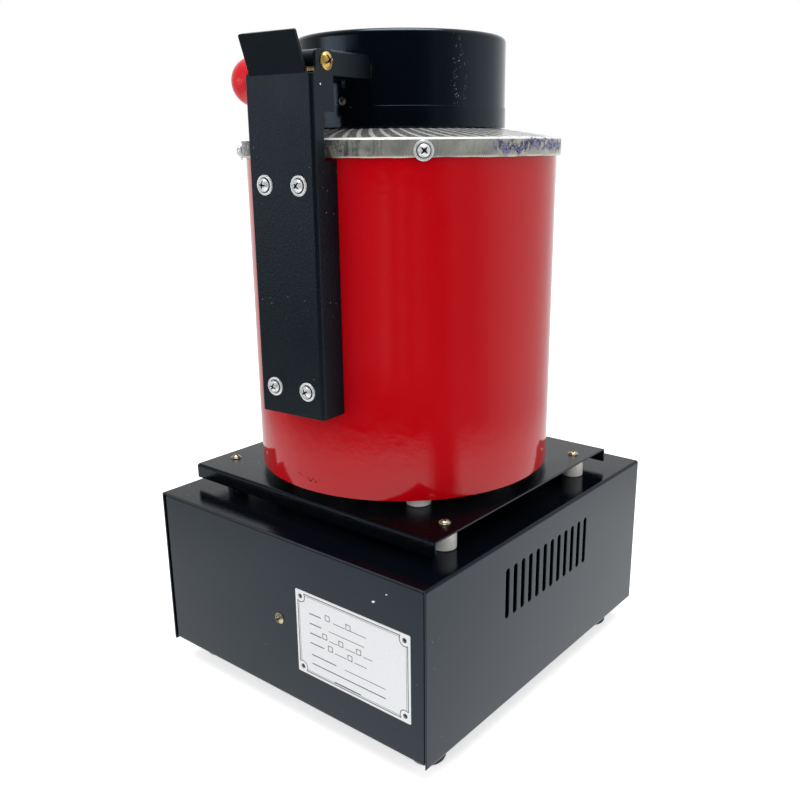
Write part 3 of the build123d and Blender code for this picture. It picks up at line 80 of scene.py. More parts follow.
# ---------------------------------------------------------------- node graphs
@dataclass(frozen=True)
class Signal:
    """What a node gives out. Every sum or call on it adds a node."""

    graph: "Graph"
    socket: bpy.types.NodeSocket

    def __add__(self, other: "Signal | float") -> "Signal":
        """Add another.

        Args:
            other: what is added.

        Returns:
            The sum.
        """
        return self.graph.calc("ADD", self, other)

    def __sub__(self, other: "Signal | float") -> "Signal":
        """Take another away.

        Args:
            other: what is taken away.

        Returns:
            The difference.
        """
        return self.graph.calc("SUBTRACT", self, other)

    def __mul__(self, other: "Signal | float") -> "Signal":
        """Multiply by another.

        Args:
            other: the factor.

        Returns:
            The product.
        """
        return self.graph.calc("MULTIPLY", self, other)

    def hypot(self, other: "Signal") -> "Signal":
        """Length of a step by this much one way and by another across.

        Args:
            other: the step across.

        Returns:
            The length.
        """
        return self.graph.calc("SQRT", self * self + other * other)

    def span(self, low: float, high: float, new_low: float = 0.0, new_high: float = 1.0) -> "Signal":
        """Bring this from one range to another, clamped.

        Args:
            low: its value at the new range's start.
            high: its value at the new range's end.
            new_low: the new start.
            new_high: the new end.

        Returns:
            The new factor.
        """
        values = {"Value": self, "From Min": low, "From Max": high, "To Min": new_low, "To Max": new_high}
        return self.graph.out("MapRange", 0, values)

    def blend(self, low: object, high: object) -> "Signal":
        """Blend two colours, with this as the factor.

        Args:
            low: colour or signal at 0.
            high: colour or signal at 1.

        Returns:
            The blended colour.
        """
        return self.graph.out("Mix", 2, {0: self, 6: low, 7: high}, data_type="RGBA")

    def ramp(self, stops: Stops, top: float = 2.0) -> "Signal":
        """A curve over a direction round the furnace.

        Args:
            stops: degrees from the camera's direction and values, in order.
            top: no value is above it.

        Returns:
            The curve's value.
        """
        made = self.graph.node("ValToRGB", {0: self})
        points = made.color_ramp.elements
        while len(points) < len(stops):
            points.new(0.5)
        for point, (degrees, value) in zip(points, stops):
            point.position = degrees / 360 + 0.5
            point.color = (value / top, value / top, value / top, 1.0)
        return Signal(self.graph, made.outputs[0]) * top

    def relief(self, distance: "Signal | float", strength: float = 1.0, under: "Signal | None" = None) -> "Signal":
        """Surface relief with this as its height.

        Args:
            distance: metres that a height of 1 stands for.
            strength: how much of it is used.
            under: a normal that this relief sits on.

        Returns:
            The normal.
        """
        values: dict[str | int, object] = {"Height": self, "Distance": distance, "Strength": strength}
        if under is not None:
            values["Normal"] = under
        return self.graph.out("Bump", 0, values)


class Graph:
    """A node tree with short calls for the nodes that the finishes share."""

    def __init__(self, tree: bpy.types.NodeTree) -> None:
        """Start from an empty tree.

        Args:
            tree: the tree of a material or a world.
        """
        self.tree = tree
        self.tree.nodes.clear()
        self.place: Signal | None = None
        self.shader: bpy.types.Node | None = None

    def node(self, kind: str, values: dict[str | int, object] | None = None, **settings: object) -> bpy.types.Node:
        """Add a node.

        Args:
            kind: the node's type name without its ShaderNode prefix.
            values: what goes into its inputs, a signal or a plain value.
            settings: the node's own properties.

        Returns:
            The new node.
        """
        made = self.tree.nodes.new("ShaderNode" + kind)
        for name, value in settings.items():
            setattr(made, name, value)
        for key, value in (values or {}).items():
            self.feed(made.inputs[key], value)
        return made

    def out(self, kind: str, output: str | int, values: dict[str | int, object] | None = None,
            **settings: object) -> Signal:
        """Add a node and take one of its outputs.

        Args:
            kind: as for a node.
            output: the output's name or number.
            values: as for a node.
            settings: as for a node.

        Returns:
            What comes out.
        """
        return Signal(self, self.node(kind, values, **settings).outputs[output])

    def feed(self, socket: bpy.types.NodeSocket, value: object) -> None:
        """Link an input, or set its plain value.

        Args:
            socket: the input to fill.
            value: a signal, a number or a tuple.
        """
        if isinstance(value, Signal):
            self.tree.links.new(value.socket, socket)
        elif isinstance(value, tuple) and len(value) == 3 and socket.type == "RGBA":
            socket.default_value = (*value, 1.0)
        else:
            socket.default_value = value

    def give(self, name: str, value: object) -> None:
        """Fill an input of the finish's shader.

        Args:
            name: the input.
            value: a signal, a number or a tuple.
        """
        self.feed(self.shader.inputs[name], value)

    def calc(self, operation: str, first: object, second: object = 0.0) -> Signal:
        """One sum.

        Args:
            operation: Blender's name for it.
            first: the first number or signal.
            second: the second number or signal.

        Returns:
            The result.
        """
        return self.out("Math", 0, {0: first, 1: second}, operation=operation)

    def coords(self) -> Signal:
        """The object's own coordinates in metres."""
        if self.place is None:
            self.place = self.out("TexCoord", "Object")
        return self.place

    def noise(self, per_metre: float, detail: float = 3.0, rough: float = 0.5,
              scale: Point | None = None) -> Signal:
        """Fractal noise.

        Args:
            per_metre: features in a metre.
            detail: octaves.
            rough: weight of the finer octaves.
            scale: factors along X, Y and Z, where it is drawn out.

        Returns:
            The noise factor.
        """
        place = self.out("Mapping", 0, {"Vector": self.coords(), "Scale": scale}) if scale else self.coords()
        return self.out("TexNoise", 0, {"Vector": place, "Scale": per_metre, "Detail": detail, "Roughness": rough})

    def cells(self, per_metre: float) -> Signal:
        """Distance to the nearest of scattered points.

        Args:
            per_metre: points in a metre.

        Returns:
            The distance.
        """
        return self.out("TexVoronoi", "Distance", {"Vector": self.coords(), "Scale": per_metre})

    def axis(self, name: str) -> Signal:
        """One of the object's coordinates.

        Args:
            name: X, Y or Z.

        Returns:
            That coordinate.
        """
        return self.out("SeparateXYZ", name, {0: self.coords()})

    def across(self) -> tuple[Signal, Signal]:
        """Distances from the barrel's axis along X and Y."""
        middle = barrel_axis()
        return self.axis("X") - middle.x, self.axis("Y") - middle.y

    def turn(self) -> Signal:
        """Angle round the barrel's axis, in radians from +X."""
        x, y = self.across()
        return self.calc("ARCTAN2", y, x)

    def eased(self, radius: float) -> Signal | None:
        """Normal with the sharp edges eased.

        Args:
            radius: of the eased edge, or 0 for none.

        Returns:
            The normal, or None where nothing is eased.
        """
        return self.out("Bevel", 0, {"Radius": radius}, samples=4) if radius else None


# ---------------------------------------------------------------- finishes
@dataclass(frozen=True)
class Finish:
    """A finish: its plain colour and gloss, and what draws its detail."""

    name: str
    colour: Colour
    roughness: float
    metallic: float = 0.0
    ior: float = 1.5
    coat: float = 0.0
    edge: float = 0.0

    def material(self) -> bpy.types.Material:
        """Make the material once, and give it back later.

        Returns:
            The material.
        """
        made = bpy.data.materials.get(self.name)
        if made is not None:
            return made
        made = bpy.data.materials.new(self.name)
        made.use_nodes = True
        made.diffuse_color = (*self.colour, 1.0)
        graph = Graph(made.node_tree)
        graph.shader = graph.node("BsdfPrincipled", {
            "Base Color": self.colour, "Roughness": self.roughness, "Metallic": self.metallic,
            "IOR": self.ior, "Coat Weight": self.coat, "Coat Roughness": 0.06})
        graph.node("OutputMaterial", {0: Signal(graph, graph.shader.outputs[0])})
        self.detail(graph)
        return made

    def shade(self, factor: float) -> Colour:
        """The colour, darker or paler.

        Args:
            factor: what it is multiplied by.

        Returns:
            The new colour.
        """
        return tuple(c * factor for c in self.colour)

    def uneven(self, cloud: Signal, less: float, more: float, low: float = 0.3, high: float = 0.7) -> Signal:
        """Roughness that follows a cloud.

        Args:
            cloud: the noise that it follows.
            less: share of the finish's roughness at the cloud's low value.
            more: share at its high value.
            low: the cloud's low value.
            high: the cloud's high value.

        Returns:
            The roughness, never above 1.
        """
        return cloud.span(low, high, self.roughness * less, min(1.0, self.roughness * more))

    def detail(self, graph: Graph) -> None:
        """Draw the finish's own detail: here a fine grain.

        Args:
            graph: the material's tree.
        """
        grain = graph.noise(1400, 2)
        graph.give("Roughness", self.uneven(grain, 0.85, 1.15))
        graph.give("Normal", grain.relief(0.02 * MM, 0.6, graph.eased(self.edge)))


@dataclass(frozen=True)
class PowderCoat(Finish):
    """Black powder coat with orange peel and dust nibs."""

    peel: float = 0.05 * MM
    nibs: float = 0.5
    tint: Colour = (0.58, 0.79, 1.0)
    sparkle_patch: tuple[float, float, float] | None = None   # a patch of painted highlight sparkle: its angle in degrees, height and half height
    level: Pair = (0.6, 0.95)   # Z of the normal, where upright faces go over into level ones

    def detail(self, graph: Graph) -> None:
        """Draw peel, nibs, a patch of painted highlight sparkle where there is one, and the faint mottling of the
        coat.

        Args:
            graph: the material's tree.
        """
        mottle = graph.noise(22, 4, 0.6)
        facing = graph.out("SeparateXYZ", "Z", {0: graph.out("NewGeometry", "Normal")})
        # pale specks: dust nibs, and where a sparkle patch is given, painted highlight sparkle as well
        dust_and_sparkle = graph.cells(210).span(0.085, 0.05) * graph.noise(27, 2).span(0.58, 0.64) * self.nibs
        if self.sparkle_patch:
            dust_and_sparkle = graph.calc("MAXIMUM", dust_and_sparkle, self.patch(graph))
        pale = tuple(c * 1.6 + 0.0006 for c in self.colour)
        # the specks' pale colour stands for dust, and inside the sparkle patch for a painted highlight
        graph.give("Base Color", dust_and_sparkle.blend(mottle.blend(self.colour, pale), (0.42, 0.44, 0.47)))
        graph.give("Specular Tint", self.tint)
        graph.give("Specular IOR Level", facing.span(*self.level, 0.5, 0.28))
        graph.give("Roughness", self.uneven(mottle, 0.9, 1.12) * facing.span(*self.level, 1.0, 0.55))
        swell = graph.noise(13, 2).span(0.38, 0.60, 0.45, 1.3) * facing.span(*self.level, 1.0, 1.3)
        peel = (graph.noise(560, 2, 0.55) * swell).relief(self.peel, 1.0, graph.eased(self.edge))
        crisp = facing.span(*self.level, self.peel * 0.25, self.peel * 0.7)
        fine = graph.noise(1900, 2).relief(crisp, 1.0, peel)
        graph.give("Normal", dust_and_sparkle.relief(0.06 * MM, 1.0, fine))

    def patch(self, graph: Graph) -> Signal:
        """Painted highlight sparkle: pale specks on one upright patch of a round wall, where the coat's highlight
        breaks up in its peel.

        Args:
            graph: the material's tree.

        Returns:
            How much painted sparkle there is.
        """
        angle, level, tall = self.sparkle_patch
        beside = graph.calc("ABSOLUTE", graph.turn() - math.radians(angle))
        above = graph.calc("ABSOLUTE", graph.axis("Z") - level)
        place = beside.span(0.11, 0.02) * above.span(tall, tall * 0.7)
        likely = graph.noise(230, 1) + place * 0.10
        return place * (graph.cells(800).span(0.22, 0.12) * likely.span(0.58, 0.62))


@dataclass(frozen=True)
class Enamel(Finish):
    """Glossy red enamel over rolled sheet: faint upright waves, runs and pinholes."""

    mirrored: float = 0.68

    def detail(self, graph: Graph) -> None:
        """Draw the rolled waves, the film's unevenness and the pinholes, and darken its mirror image.

        Args:
            graph: the material's tree.
        """
        marks = graph.cells(85).span(0.022, 0.012) * graph.noise(17, 2).span(0.60, 0.63)
        film = graph.noise(14, 3).blend(self.shade(0.90), self.shade(1.06))
        dark = graph.out("LightPath", "Is Glossy Ray") * self.mirrored
        graph.give("Base Color", dark.blend(marks.blend(film, (0.10, 0.004, 0.006)), (0.0, 0.0, 0.0)))
        graph.give("Roughness", self.uneven(graph.noise(60, 3), 0.8, 1.25))
        rolled = graph.noise(34, 1, 0.4, (1.0, 1.0, 0.06)).relief(0.6 * MM, 0.5)
        dents = graph.noise(75, 3, 0.6).relief(0.22 * MM, 0.6, rolled)
        peel = graph.noise(420, 2).relief(0.02 * MM, 0.6, dents)
        graph.give("Normal", marks.relief(0.1 * MM, -1.0, peel))


@dataclass(frozen=True)
class ScratchedSteel(Finish):
    """Bare ring: upright grinding grain on its rim, heat stain on one side, painted shade by the bracket, a painted
    highlight along the rim's edge, and on the cone a painted dark reflection with painted highlights along its ribs.
    """

    stained: Pair = (159.0, 206.0)   # degrees round the barrel
    bracket_shade_turns: tuple[float, float, float] = (104.0, 111.0, 128.0)   # degrees where the painted shade by the bracket is dense, thins and ends
    weld: tuple[float, float, float] = (117.7, 9.0 * MM, 3.1 * MM)   # degrees, drop below the rim's edge and radius

    def detail(self, graph: Graph) -> None:
        """Draw grain, painted highlights on the ribs and along the rim's edge, the cone's painted dark reflection,
        painted shade by the bracket, scratches, the heat stain and the spot mark.

        Args:
            graph: the material's tree.
        """
        grain = graph.noise(900, 3, 0.6, (1.0, 1.0, 0.05))
        patches, turn, rise = graph.noise(55, 4, 0.6), graph.turn(), graph.axis("Z")
        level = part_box("top_ring")[0].z + RIM_TALL
        on_cone = rise.span(level + 0.02 * MM, level + 0.25 * MM)
        on_rim = graph.calc("SUBTRACT", 1.0, on_cone)
        x, y = graph.across()
        # wave along the pressed ribs, for their painted highlights
        rib_glint_wave = graph.calc("COSINE", turn * RIBS + x.hypot(y) * RIB_LEAN)
        lip = rise.span(level - 10.6 * MM, level - 11.0 * MM) * patches.span(0.40, 0.50)
        # painted highlight: a pale band just under the rim's upper edge
        edge_highlight = rise.span(level - 1.3 * MM, level - 1.0 * MM) * on_rim
        cloud = graph.noise(260, 4, 0.6)
        stain = self.stain(graph, turn, level) * cloud.span(0.42, 0.47)
        tone = patches.span(0.35, 0.7).blend(self.colour, self.shade(0.58))
        for amount, colour in (
                (grain.span(0.54, 0.72, 0.0, 0.45), self.shade(0.38)),
                # painted dark reflection on the cone, with painted highlights along its ribs
                (on_cone * 0.7, (0.20, 0.20, 0.21)),
                (rib_glint_wave.span(0.25, 0.75) * on_cone * 0.95, (0.92, 0.93, 0.92)),
                (self.spot(graph, turn, level) * 0.7, (0.60, 0.60, 0.56)),
                # painted shade by the bracket, drawn dark on the rim
                (self.bracket_shade(graph, turn, grain) * on_rim, (0.012, 0.012, 0.016)),
                (lip * 0.7, (0.80, 0.78, 0.64)),
                # painted highlight along the rim's edge
                (edge_highlight, (0.95, 0.95, 0.94)),
                (stain, cloud.span(0.48, 0.55).blend((0.010, 0.010, 0.030), (0.26, 0.26, 0.42)))):
            tone = amount.blend(tone, colour)
        graph.give("Base Color", tone)
        # the cone and the rim's edge highlight are made less metallic, so their painted tones show
        graph.give("Metallic", on_cone.span(0.0, 1.0, self.metallic, 0.30) * edge_highlight.span(0.0, 1.0, 1.0, 0.1))
        graph.give("Roughness", self.uneven(grain, 0.8, 1.4, 0.35, 0.7) + stain * 0.25)
        lines = grain.relief(0.06 * MM, 0.7, graph.eased(self.edge))
        graph.give("Normal", stain.relief(0.08 * MM, 1.0, lines))

    def stain(self, graph: Graph, turn: Signal, level: float) -> Signal:
        """The heat stain's place, with drips below the rim's edge.

        Args:
            graph: the material's tree.
            turn: angle round the barrel.
            level: height of the rim's upper edge.

        Returns:
            1 inside it.
        """
        wrapped = graph.calc("MODULO", turn + 2 * math.pi, 2 * math.pi)
        start, end = (math.radians(a) for a in self.stained)
        inside = wrapped.span(start - 0.03, start + 0.05) * wrapped.span(end + 0.03, end - 0.05)
        height = graph.axis("Z") + graph.noise(130, 2, 0.4, (1.0, 1.0, 0.0)) * (12.0 * MM)
        below = height.span(level - 3.5 * MM, level - 1.5 * MM)
        return inside * (below * height.span(level + 5.5 * MM, level + 3.5 * MM))

    def spot(self, graph: Graph, turn: Signal, level: float) -> Signal:
        """The round mark of a spot weld on the rim.

        Args:
            graph: the material's tree.
            turn: angle round the barrel.
            level: height of the rim's upper edge.

        Returns:
            1 on the mark.
        """
        angle, drop, size = self.weld
        across = (turn - math.radians(angle)) * RING_RADIUS
        return across.hypot(graph.axis("Z") - (level - drop)).span(size, size * 0.85)

    def bracket_shade(self, graph: Graph, turn: Signal, grain: Signal) -> Signal:
        """Painted shade by the bracket: dense beside it, thinning into upright lines along the grain.

        Args:
            graph: the material's tree.
            turn: angle round the barrel.
            grain: the upright grain.

        Returns:
            How much painted shade there is.
        """
        start, thin, clean = (math.radians(a) for a in self.bracket_shade_turns)
        blots = graph.noise(330, 4, 0.7)
        dense = turn.span(thin, start) * blots.span(0.40, 0.50)
        lines = turn.span(clean, thin, 0.0, 0.7) * (grain + blots).span(0.98, 1.10)
        return graph.calc("MAXIMUM", dense, lines) * turn.span(0.6, 0.9)


@dataclass(frozen=True)
class PlatedMetal(Finish):
    """Plated or plain bright metal with handling marks."""

    tarnish: float = 0.35

    def detail(self, graph: Graph) -> None:
        """Draw tarnish and fine scratches.

        Args:
            graph: the material's tree.
        """
        cloud = graph.noise(420, 4, 0.65)
        graph.give("Base Color", cloud.span(0.4, 0.75).blend(self.colour, self.shade(1 - self.tarnish)))
        graph.give("Roughness", self.uneven(cloud, 0.7, 1.5, 0.3, 0.75))
        scratch = graph.noise(2600, 2, 0.5, (1.0, 0.2, 1.0))
        graph.give("Normal", scratch.relief(0.02 * MM, 0.5, graph.eased(self.edge)))


@dataclass(frozen=True)
class Fired(Finish):
    """Fired or pressed mineral: ceramic, refractory, graphite and fibre, by their grain."""

    grain: float = 900.0
    depth: float = 0.05 * MM
    soot: float = 0.2

    def detail(self, graph: Graph) -> None:
        """Draw grains, specks and discolouring.

        Args:
            graph: the material's tree.
        """
        grain = graph.noise(self.grain, 5, 0.65)
        cloud = graph.noise(self.grain * 0.06, 3, 0.6)
        tone = cloud.span(0.3, 0.75).blend(self.colour, self.shade(1 - self.soot))
        specks = graph.cells(self.grain * 0.8).span(0.12, 0.06, 0.0, self.soot)
        graph.give("Base Color", specks.blend(tone, self.shade(0.5)))
        graph.give("Roughness", self.uneven(cloud, 0.9, 1.1))
        graph.give("Normal", grain.relief(self.depth, 0.8, graph.eased(self.edge)))


class Shades(Enum):
    """The furnace's finishes."""

    BOX = PowderCoat("black powder coat", (0.0012, 0.0018, 0.0036), 0.17, ior=1.42, edge=0.0010)
    DECK = PowderCoat("black deck coat", (0.0008, 0.0010, 0.0018), 0.12, ior=1.42, edge=0.0008, peel=0.00014)
    BRACKET = PowderCoat("satin bracket coat", (0.0018, 0.0027, 0.0042), 0.34, edge=0.0005, peel=0.00014)
    # the lid's sparkle patch paints its broken-up highlight on the side as pale specks
    LID = PowderCoat("black lid coat", (0.0010, 0.0020, 0.0036), 0.11, edge=0.0006, peel=0.00004, nibs=1.0,
                     sparkle_patch=(160.0, 0.447, 0.024))
    ENAMEL = Enamel("red barrel enamel", (0.460, 0.0006, 0.0046), 0.09)
    RING = ScratchedSteel("scratched ring steel", (0.52, 0.53, 0.48), 0.22, 0.6, edge=0.0004)
    STEEL = PlatedMetal("plain steel sheet", (0.50, 0.50, 0.49), 0.38, 1.0)
    ZINC = PlatedMetal("zinc plate", (0.88, 0.90, 0.92), 0.24, 0.5, tarnish=0.25)
    BRASS = PlatedMetal("yellow brass", (0.86, 0.58, 0.17), 0.24, 0.7)
    DULL_BRASS = PlatedMetal("dull brass", (0.60, 0.53, 0.36), 0.26, 0.8, tarnish=0.5)
    # painted shade, for screw recesses and the groove round screw heads
    RECESS_SHADE = Finish("shaded screw recess", (0.020, 0.020, 0.022), 0.50)
    CERAMIC = Fired("glazed ceramic", (0.80, 0.79, 0.75), 0.30, coat=0.4, grain=1500, depth=0.00002, soot=0.12,
                    edge=0.0003)
    REFRACTORY = Fired("fired refractory", (0.62, 0.52, 0.38), 0.85, grain=700, depth=0.00012, soot=0.35)
    FIBRE = Fired("ceramic fibre", (0.80, 0.78, 0.72), 1.0, grain=450, depth=0.0004, soot=0.10)
    GRAPHITE = Fired("turned graphite", (0.030, 0.030, 0.032), 0.50, grain=1600, depth=0.00003, soot=0.4,
                     edge=0.0006)
    HEATER = PlatedMetal("oxidised heater wire", (0.16, 0.13, 0.11), 0.55, 0.8)
    RUBBER = Fired("foot rubber", (0.014, 0.014, 0.015), 0.75, grain=1500, depth=0.00005, soot=0.3)
    BALL = Finish("red ball plastic", (0.62, 0.006, 0.016), 0.28, coat=0.2)
    CASE = Finish("black moulded plastic", (0.010, 0.010, 0.011), 0.42, ior=1.38, edge=0.0004)
    GLASS = Finish("smoked window", (0.010, 0.003, 0.004), 0.06, ior=1.36)
    KEY = Finish("grey key plastic", (0.42, 0.43, 0.45), 0.45)
    ROCKER = Finish("red rocker plastic", (0.52, 0.006, 0.010), 0.20, coat=0.6, edge=0.0004)
    PALE = Finish("pale moulded plastic", (0.62, 0.60, 0.54), 0.45, edge=0.0003)
    FINS = PlatedMetal("extruded aluminium", (0.72, 0.73, 0.74), 0.34, 1.0)
    JACKET = Finish("wire jacket", (0.20, 0.012, 0.012), 0.50)
    INK = Finish("black print", (0.016, 0.016, 0.018), 0.45)
    CHIP = Finish("bare filler", (0.80, 0.81, 0.82), 0.6)
    SCORCH = Finish("scorched enamel", (0.240, 0.008, 0.010), 0.6, ior=1.12)
    PLATE = Finish("satin plate", (0.72, 0.73, 0.75), 0.32, 0.25)


# ---------------------------------------------------------------- places and shapes
def barrel_axis() -> Vector:
    """The barrel's axis on the floor."""
    low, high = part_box("barrel_shell")
    return Vector(((low.x + high.x) / 2, (low.y + high.y) / 2, 0.0))


def barrel_frame() -> Matrix:
    """Where the barrel group stands: its axis, and its small turn on the deck."""
    return Matrix.Translation(barrel_axis()) @ Matrix.Rotation(BARREL_TURN, 4, "Z")


def looking(at: Vector, outward: Vector) -> Matrix:
    """A place whose +Z looks along outward.

    Args:
        at: its origin.
        outward: the direction of its +Z.

    Returns:
        The place.
    """
    return Matrix.Translation(at) @ outward.to_track_quat("Z", "Y").to_matrix().to_4x4()


def on_side(angle: float, radius: float, level: float) -> Matrix:
    """A place on a round wall, looking out.

    Args:
        angle: round the wall's axis, in degrees.
        radius: from the axis.
        level: above the floor.

    Returns:
        The place, seen from the axis.
    """
    out = Vector((math.cos(math.radians(angle)), math.sin(math.radians(angle)), 0))
    return looking(out * radius + Vector((0, 0, level)), out)


def dress(finish: Shades, *nodes: str) -> None:
    """Give CAD nodes a finish.

    Args:
        finish: the finish.
        nodes: the nodes' names.
    """
    for name in nodes:
        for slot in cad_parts[name].material_slots:
            slot.material = finish.value.material()
    LOG.info("dressed %s in %s", ", ".join(nodes), finish.value.name)


def piece(name: str, shape: bmesh.types.BMesh, finish: Shades, body: str, smooth: float = 40.0,
          second: Shades | None = None) -> bpy.types.Object:
    """Turn a bmesh into a piece of the furnace.

    Args:
        name: the object's name.
        shape: its mesh, in the part's frame. It is freed.
        finish: its finish.
        body: the CAD body that it moves with.
        smooth: edges under this angle, in degrees, are shaded smooth.
        second: the finish of faces marked 1.

    Returns:
        The object.
    """
    data = bpy.data.meshes.new(name)
    bmesh.ops.recalc_face_normals(shape, faces=shape.faces)
    shape.to_mesh(data)
    shape.free()
    for one in (finish, second):
        if one:
            data.materials.append(one.value.material())
    data.shade_smooth()
    data.set_sharp_from_angle(angle=math.radians(smooth))
    made = bpy.data.objects.new(name, data)
    bpy.context.scene.collection.objects.link(made)
    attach(made, body)
    LOG.info("built %s: %d faces", name, len(data.polygons))
    return made


def plate(shape: bmesh.types.BMesh, rear: Sequence[Vector], front: Sequence[Vector]) -> None:
    """Add a thin plate between two outlines.

    Args:
        shape: the mesh that it goes into.
        rear: the corners of its rear face.
        front: the corners of its front face, one for each at the rear.
    """
    back, face = ([shape.verts.new(at) for at in ring] for ring in (rear, front))
    shape.faces.new(face)
    shape.faces.new(back[::-1])
    for i in range(len(face)):
        j = (i + 1) % len(face)
        shape.faces.new((back[i], back[j], face[j], face[i]))


def revolved(shape: bmesh.types.BMesh, place: Matrix, points: Sequence[Pair], steps: int,
             bend: Callable[[float, float, float], Pair] | None = None) -> list[bmesh.types.BMFace]:
    """Add a turned surface.

    Args:
        shape: the mesh that it goes into.
        place: its axis is this place's Z.
        points: radius and height of its profile, in metres.
        steps: divisions round the axis.
        bend: changes a radius and height at an angle, for what isn't quite round.

    Returns:
        The new faces.
    """
    rows, faces = [], []
    for radius, height in points:
        row = []
        for i in range(steps):
            angle = 2 * math.pi * i / steps
            r, z = bend(radius, height, angle) if bend else (radius, height)
            row.append(shape.verts.new(place @ Vector((r * math.cos(angle), r * math.sin(angle), z))))
        rows.append(row)
    for lower, upper in zip(rows, rows[1:]):
        for i in range(steps):
            j = (i + 1) % steps
            faces.append(shape.faces.new((lower[i], lower[j], upper[j], upper[i])))
    return faces


# ---------------------------------------------------------------- screws
@dataclass
class PanScrew:
    """A pan-head cross-recess screw, with or without a washer face under its head."""

    head: float = 4.1 * MM
    tall: float = 2.7 * MM
    shank: float = 2.0 * MM
    length: float = 8.0 * MM
    washer: float = 0.0
    washer_thick: float = 1.1 * MM
    washer_bead: Pair = (0.82 * MM, 0.45 * MM)
    arm: float = 0.64
    thread: float = 0.7 * MM
    steps: int = 80
    rings: int = 22
    shank_steps: int = 20

    def recess(self, x: float, y: float) -> float:
        """Depth of the cross recess.

        Args:
            x: place on the head along one arm.
            y: place along the other arm.

        Returns:
            The depth, in metres.
        """
        depth, reach = 0.0, self.head * self.arm
        for along, side in ((abs(x), abs(y)), (abs(y), abs(x))):
            if along < reach:
                half = self.head * (0.20 - 0.13 * along / reach)
                wall = min(1.0, max(0.0, (half - side) / (self.head * 0.05)))
                depth = max(depth, wall * (1 - 0.7 * along / reach))
        return depth * self.tall * 0.8

    def add(self, shape: bmesh.types.BMesh, place: Matrix, turn: float) -> None:
        """Add one screw.

        Args:
            shape: the mesh that it goes into.
            place: the underside of its head, or of its washer, looking out.
            turn: how far its cross is turned, in radians.
        """
        place = place @ Matrix.Rotation(turn, 4, "Z")
        seat = self.washer_thick if self.washer else 0.0
        if self.washer:
            self.add_washer(shape, place)
        bulge = (self.head ** 2 + self.tall ** 2) / (2 * self.tall)
        profile = [(self.shank, 0.0), (self.head * 0.97, seat), (self.head, seat + self.tall * 0.16)]
        for i in range(self.rings + 1):
            r = self.head * (1 - i / self.rings)
            z = seat + math.sqrt(max(0.0, bulge ** 2 - r ** 2)) - (bulge - self.tall)
            profile.append((max(r, 1e-5) * 0.995, max(z, seat + self.tall * 0.2)))

        def cut(radius: float, height: float, angle: float) -> Pair:
            """Press the recess into the crown.

            Args:
                radius: from the screw's axis.
                height: above the washer's or the head's underside.
                angle: round its axis, in radians.

            Returns:
                The radius and height after pressing.
            """
            if height < seat + self.tall * 0.45:
                return radius, height
            return radius, height - self.recess(radius * math.cos(angle), radius * math.sin(angle))

        back = place.inverted()
        # faces deep in the cross recess take the painted-shade finish
        for face in revolved(shape, place, profile, self.steps, cut):
            at = back @ face.calc_center_median()
            if at.z > seat + self.tall * 0.1 and self.recess(at.x, at.y) > self.tall * 0.10:
                face.material_index = 1
        shaft = [(1e-5, -self.length), (self.shank * 0.7, -self.length), (self.shank, -self.length + 0.8 * MM)]
        for i in range(int((self.length - 1.2 * MM) / self.thread)):
            z = -self.length + 0.9 * MM + i * self.thread
            shaft += [(self.shank, z), (self.shank * 0.86, z + self.thread / 2)]
        revolved(shape, place, shaft + [(self.shank, seat)], self.shank_steps)

    def add_washer(self, shape: bmesh.types.BMesh, place: Matrix) -> None:
        """Add the washer, with a rounded rim and a ring of painted shade by the head.

        Args:
            shape: the mesh that it goes into.
            place: its underside, looking out.
        """
        across, up = self.washer_bead
        low = self.washer_thick - up
        rim = [(self.washer - across + across * math.cos(math.radians(a)), low + up * math.sin(math.radians(a)))
               for a in range(0, 181, 20)]
        inner = self.head * 0.9
        made = revolved(shape, place, [(inner, 0.0), (self.washer, 0.0), *rim, (inner, low - 0.2 * MM)], self.steps)
        # the groove by the head takes the painted-shade finish
        for face in made[-self.steps:]:
            face.material_index = 1


@dataclass
class ScrewSet:
    """Screws of one kind that stand for one CAD node."""

    node: str
    body: str
    finish: Shades
    kind: PanScrew
    places: list[Matrix]
    first_turn: float = 0.5
    next_turn: float = 1.9

    def build(self) -> bpy.types.Object:
        """Make the screws.

        Returns:
            The piece that holds them all.
        """
        shape = bmesh.new()
        for i, place in enumerate(self.places):
            self.kind.add(shape, place, self.first_turn + self.next_turn * i)
        made = piece("screws_" + self.node, shape, self.finish, self.body, 35, Shades.RECESS_SHADE)
        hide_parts(self.node)
        "zinc" if self.finish in (Shades.ZINC, Shades.STEEL) else "brass"
        return made


# ---------------------------------------------------------------- base
@dataclass
class Base:
    """Box of folded sheet with its feet, nameplate and earth screw."""

    earth_rise: float = 78.7 * MM
    screw: PanScrew = field(default_factory=lambda: PanScrew(length=6.4 * MM))

    def build(self) -> None:
        """Dress the box and make its earth screw."""
        dress(Shades.BOX, "base_cover", "base_chassis")
        dress(Shades.RUBBER, "feet")
        dress(Shades.ZINC, "foot_screws", "foot_nuts")
        dress(Shades.BRASS, "earth_nut")
        low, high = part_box("earth_nut")
        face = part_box("nameplate")[0].y
        place = looking(Vector(((low.x + high.x) / 2, face, self.earth_rise)), Vector((0, 1, 0)))
        ScrewSet("earth_screw", "furnace", Shades.DULL_BRASS, self.screw, [place]).build()


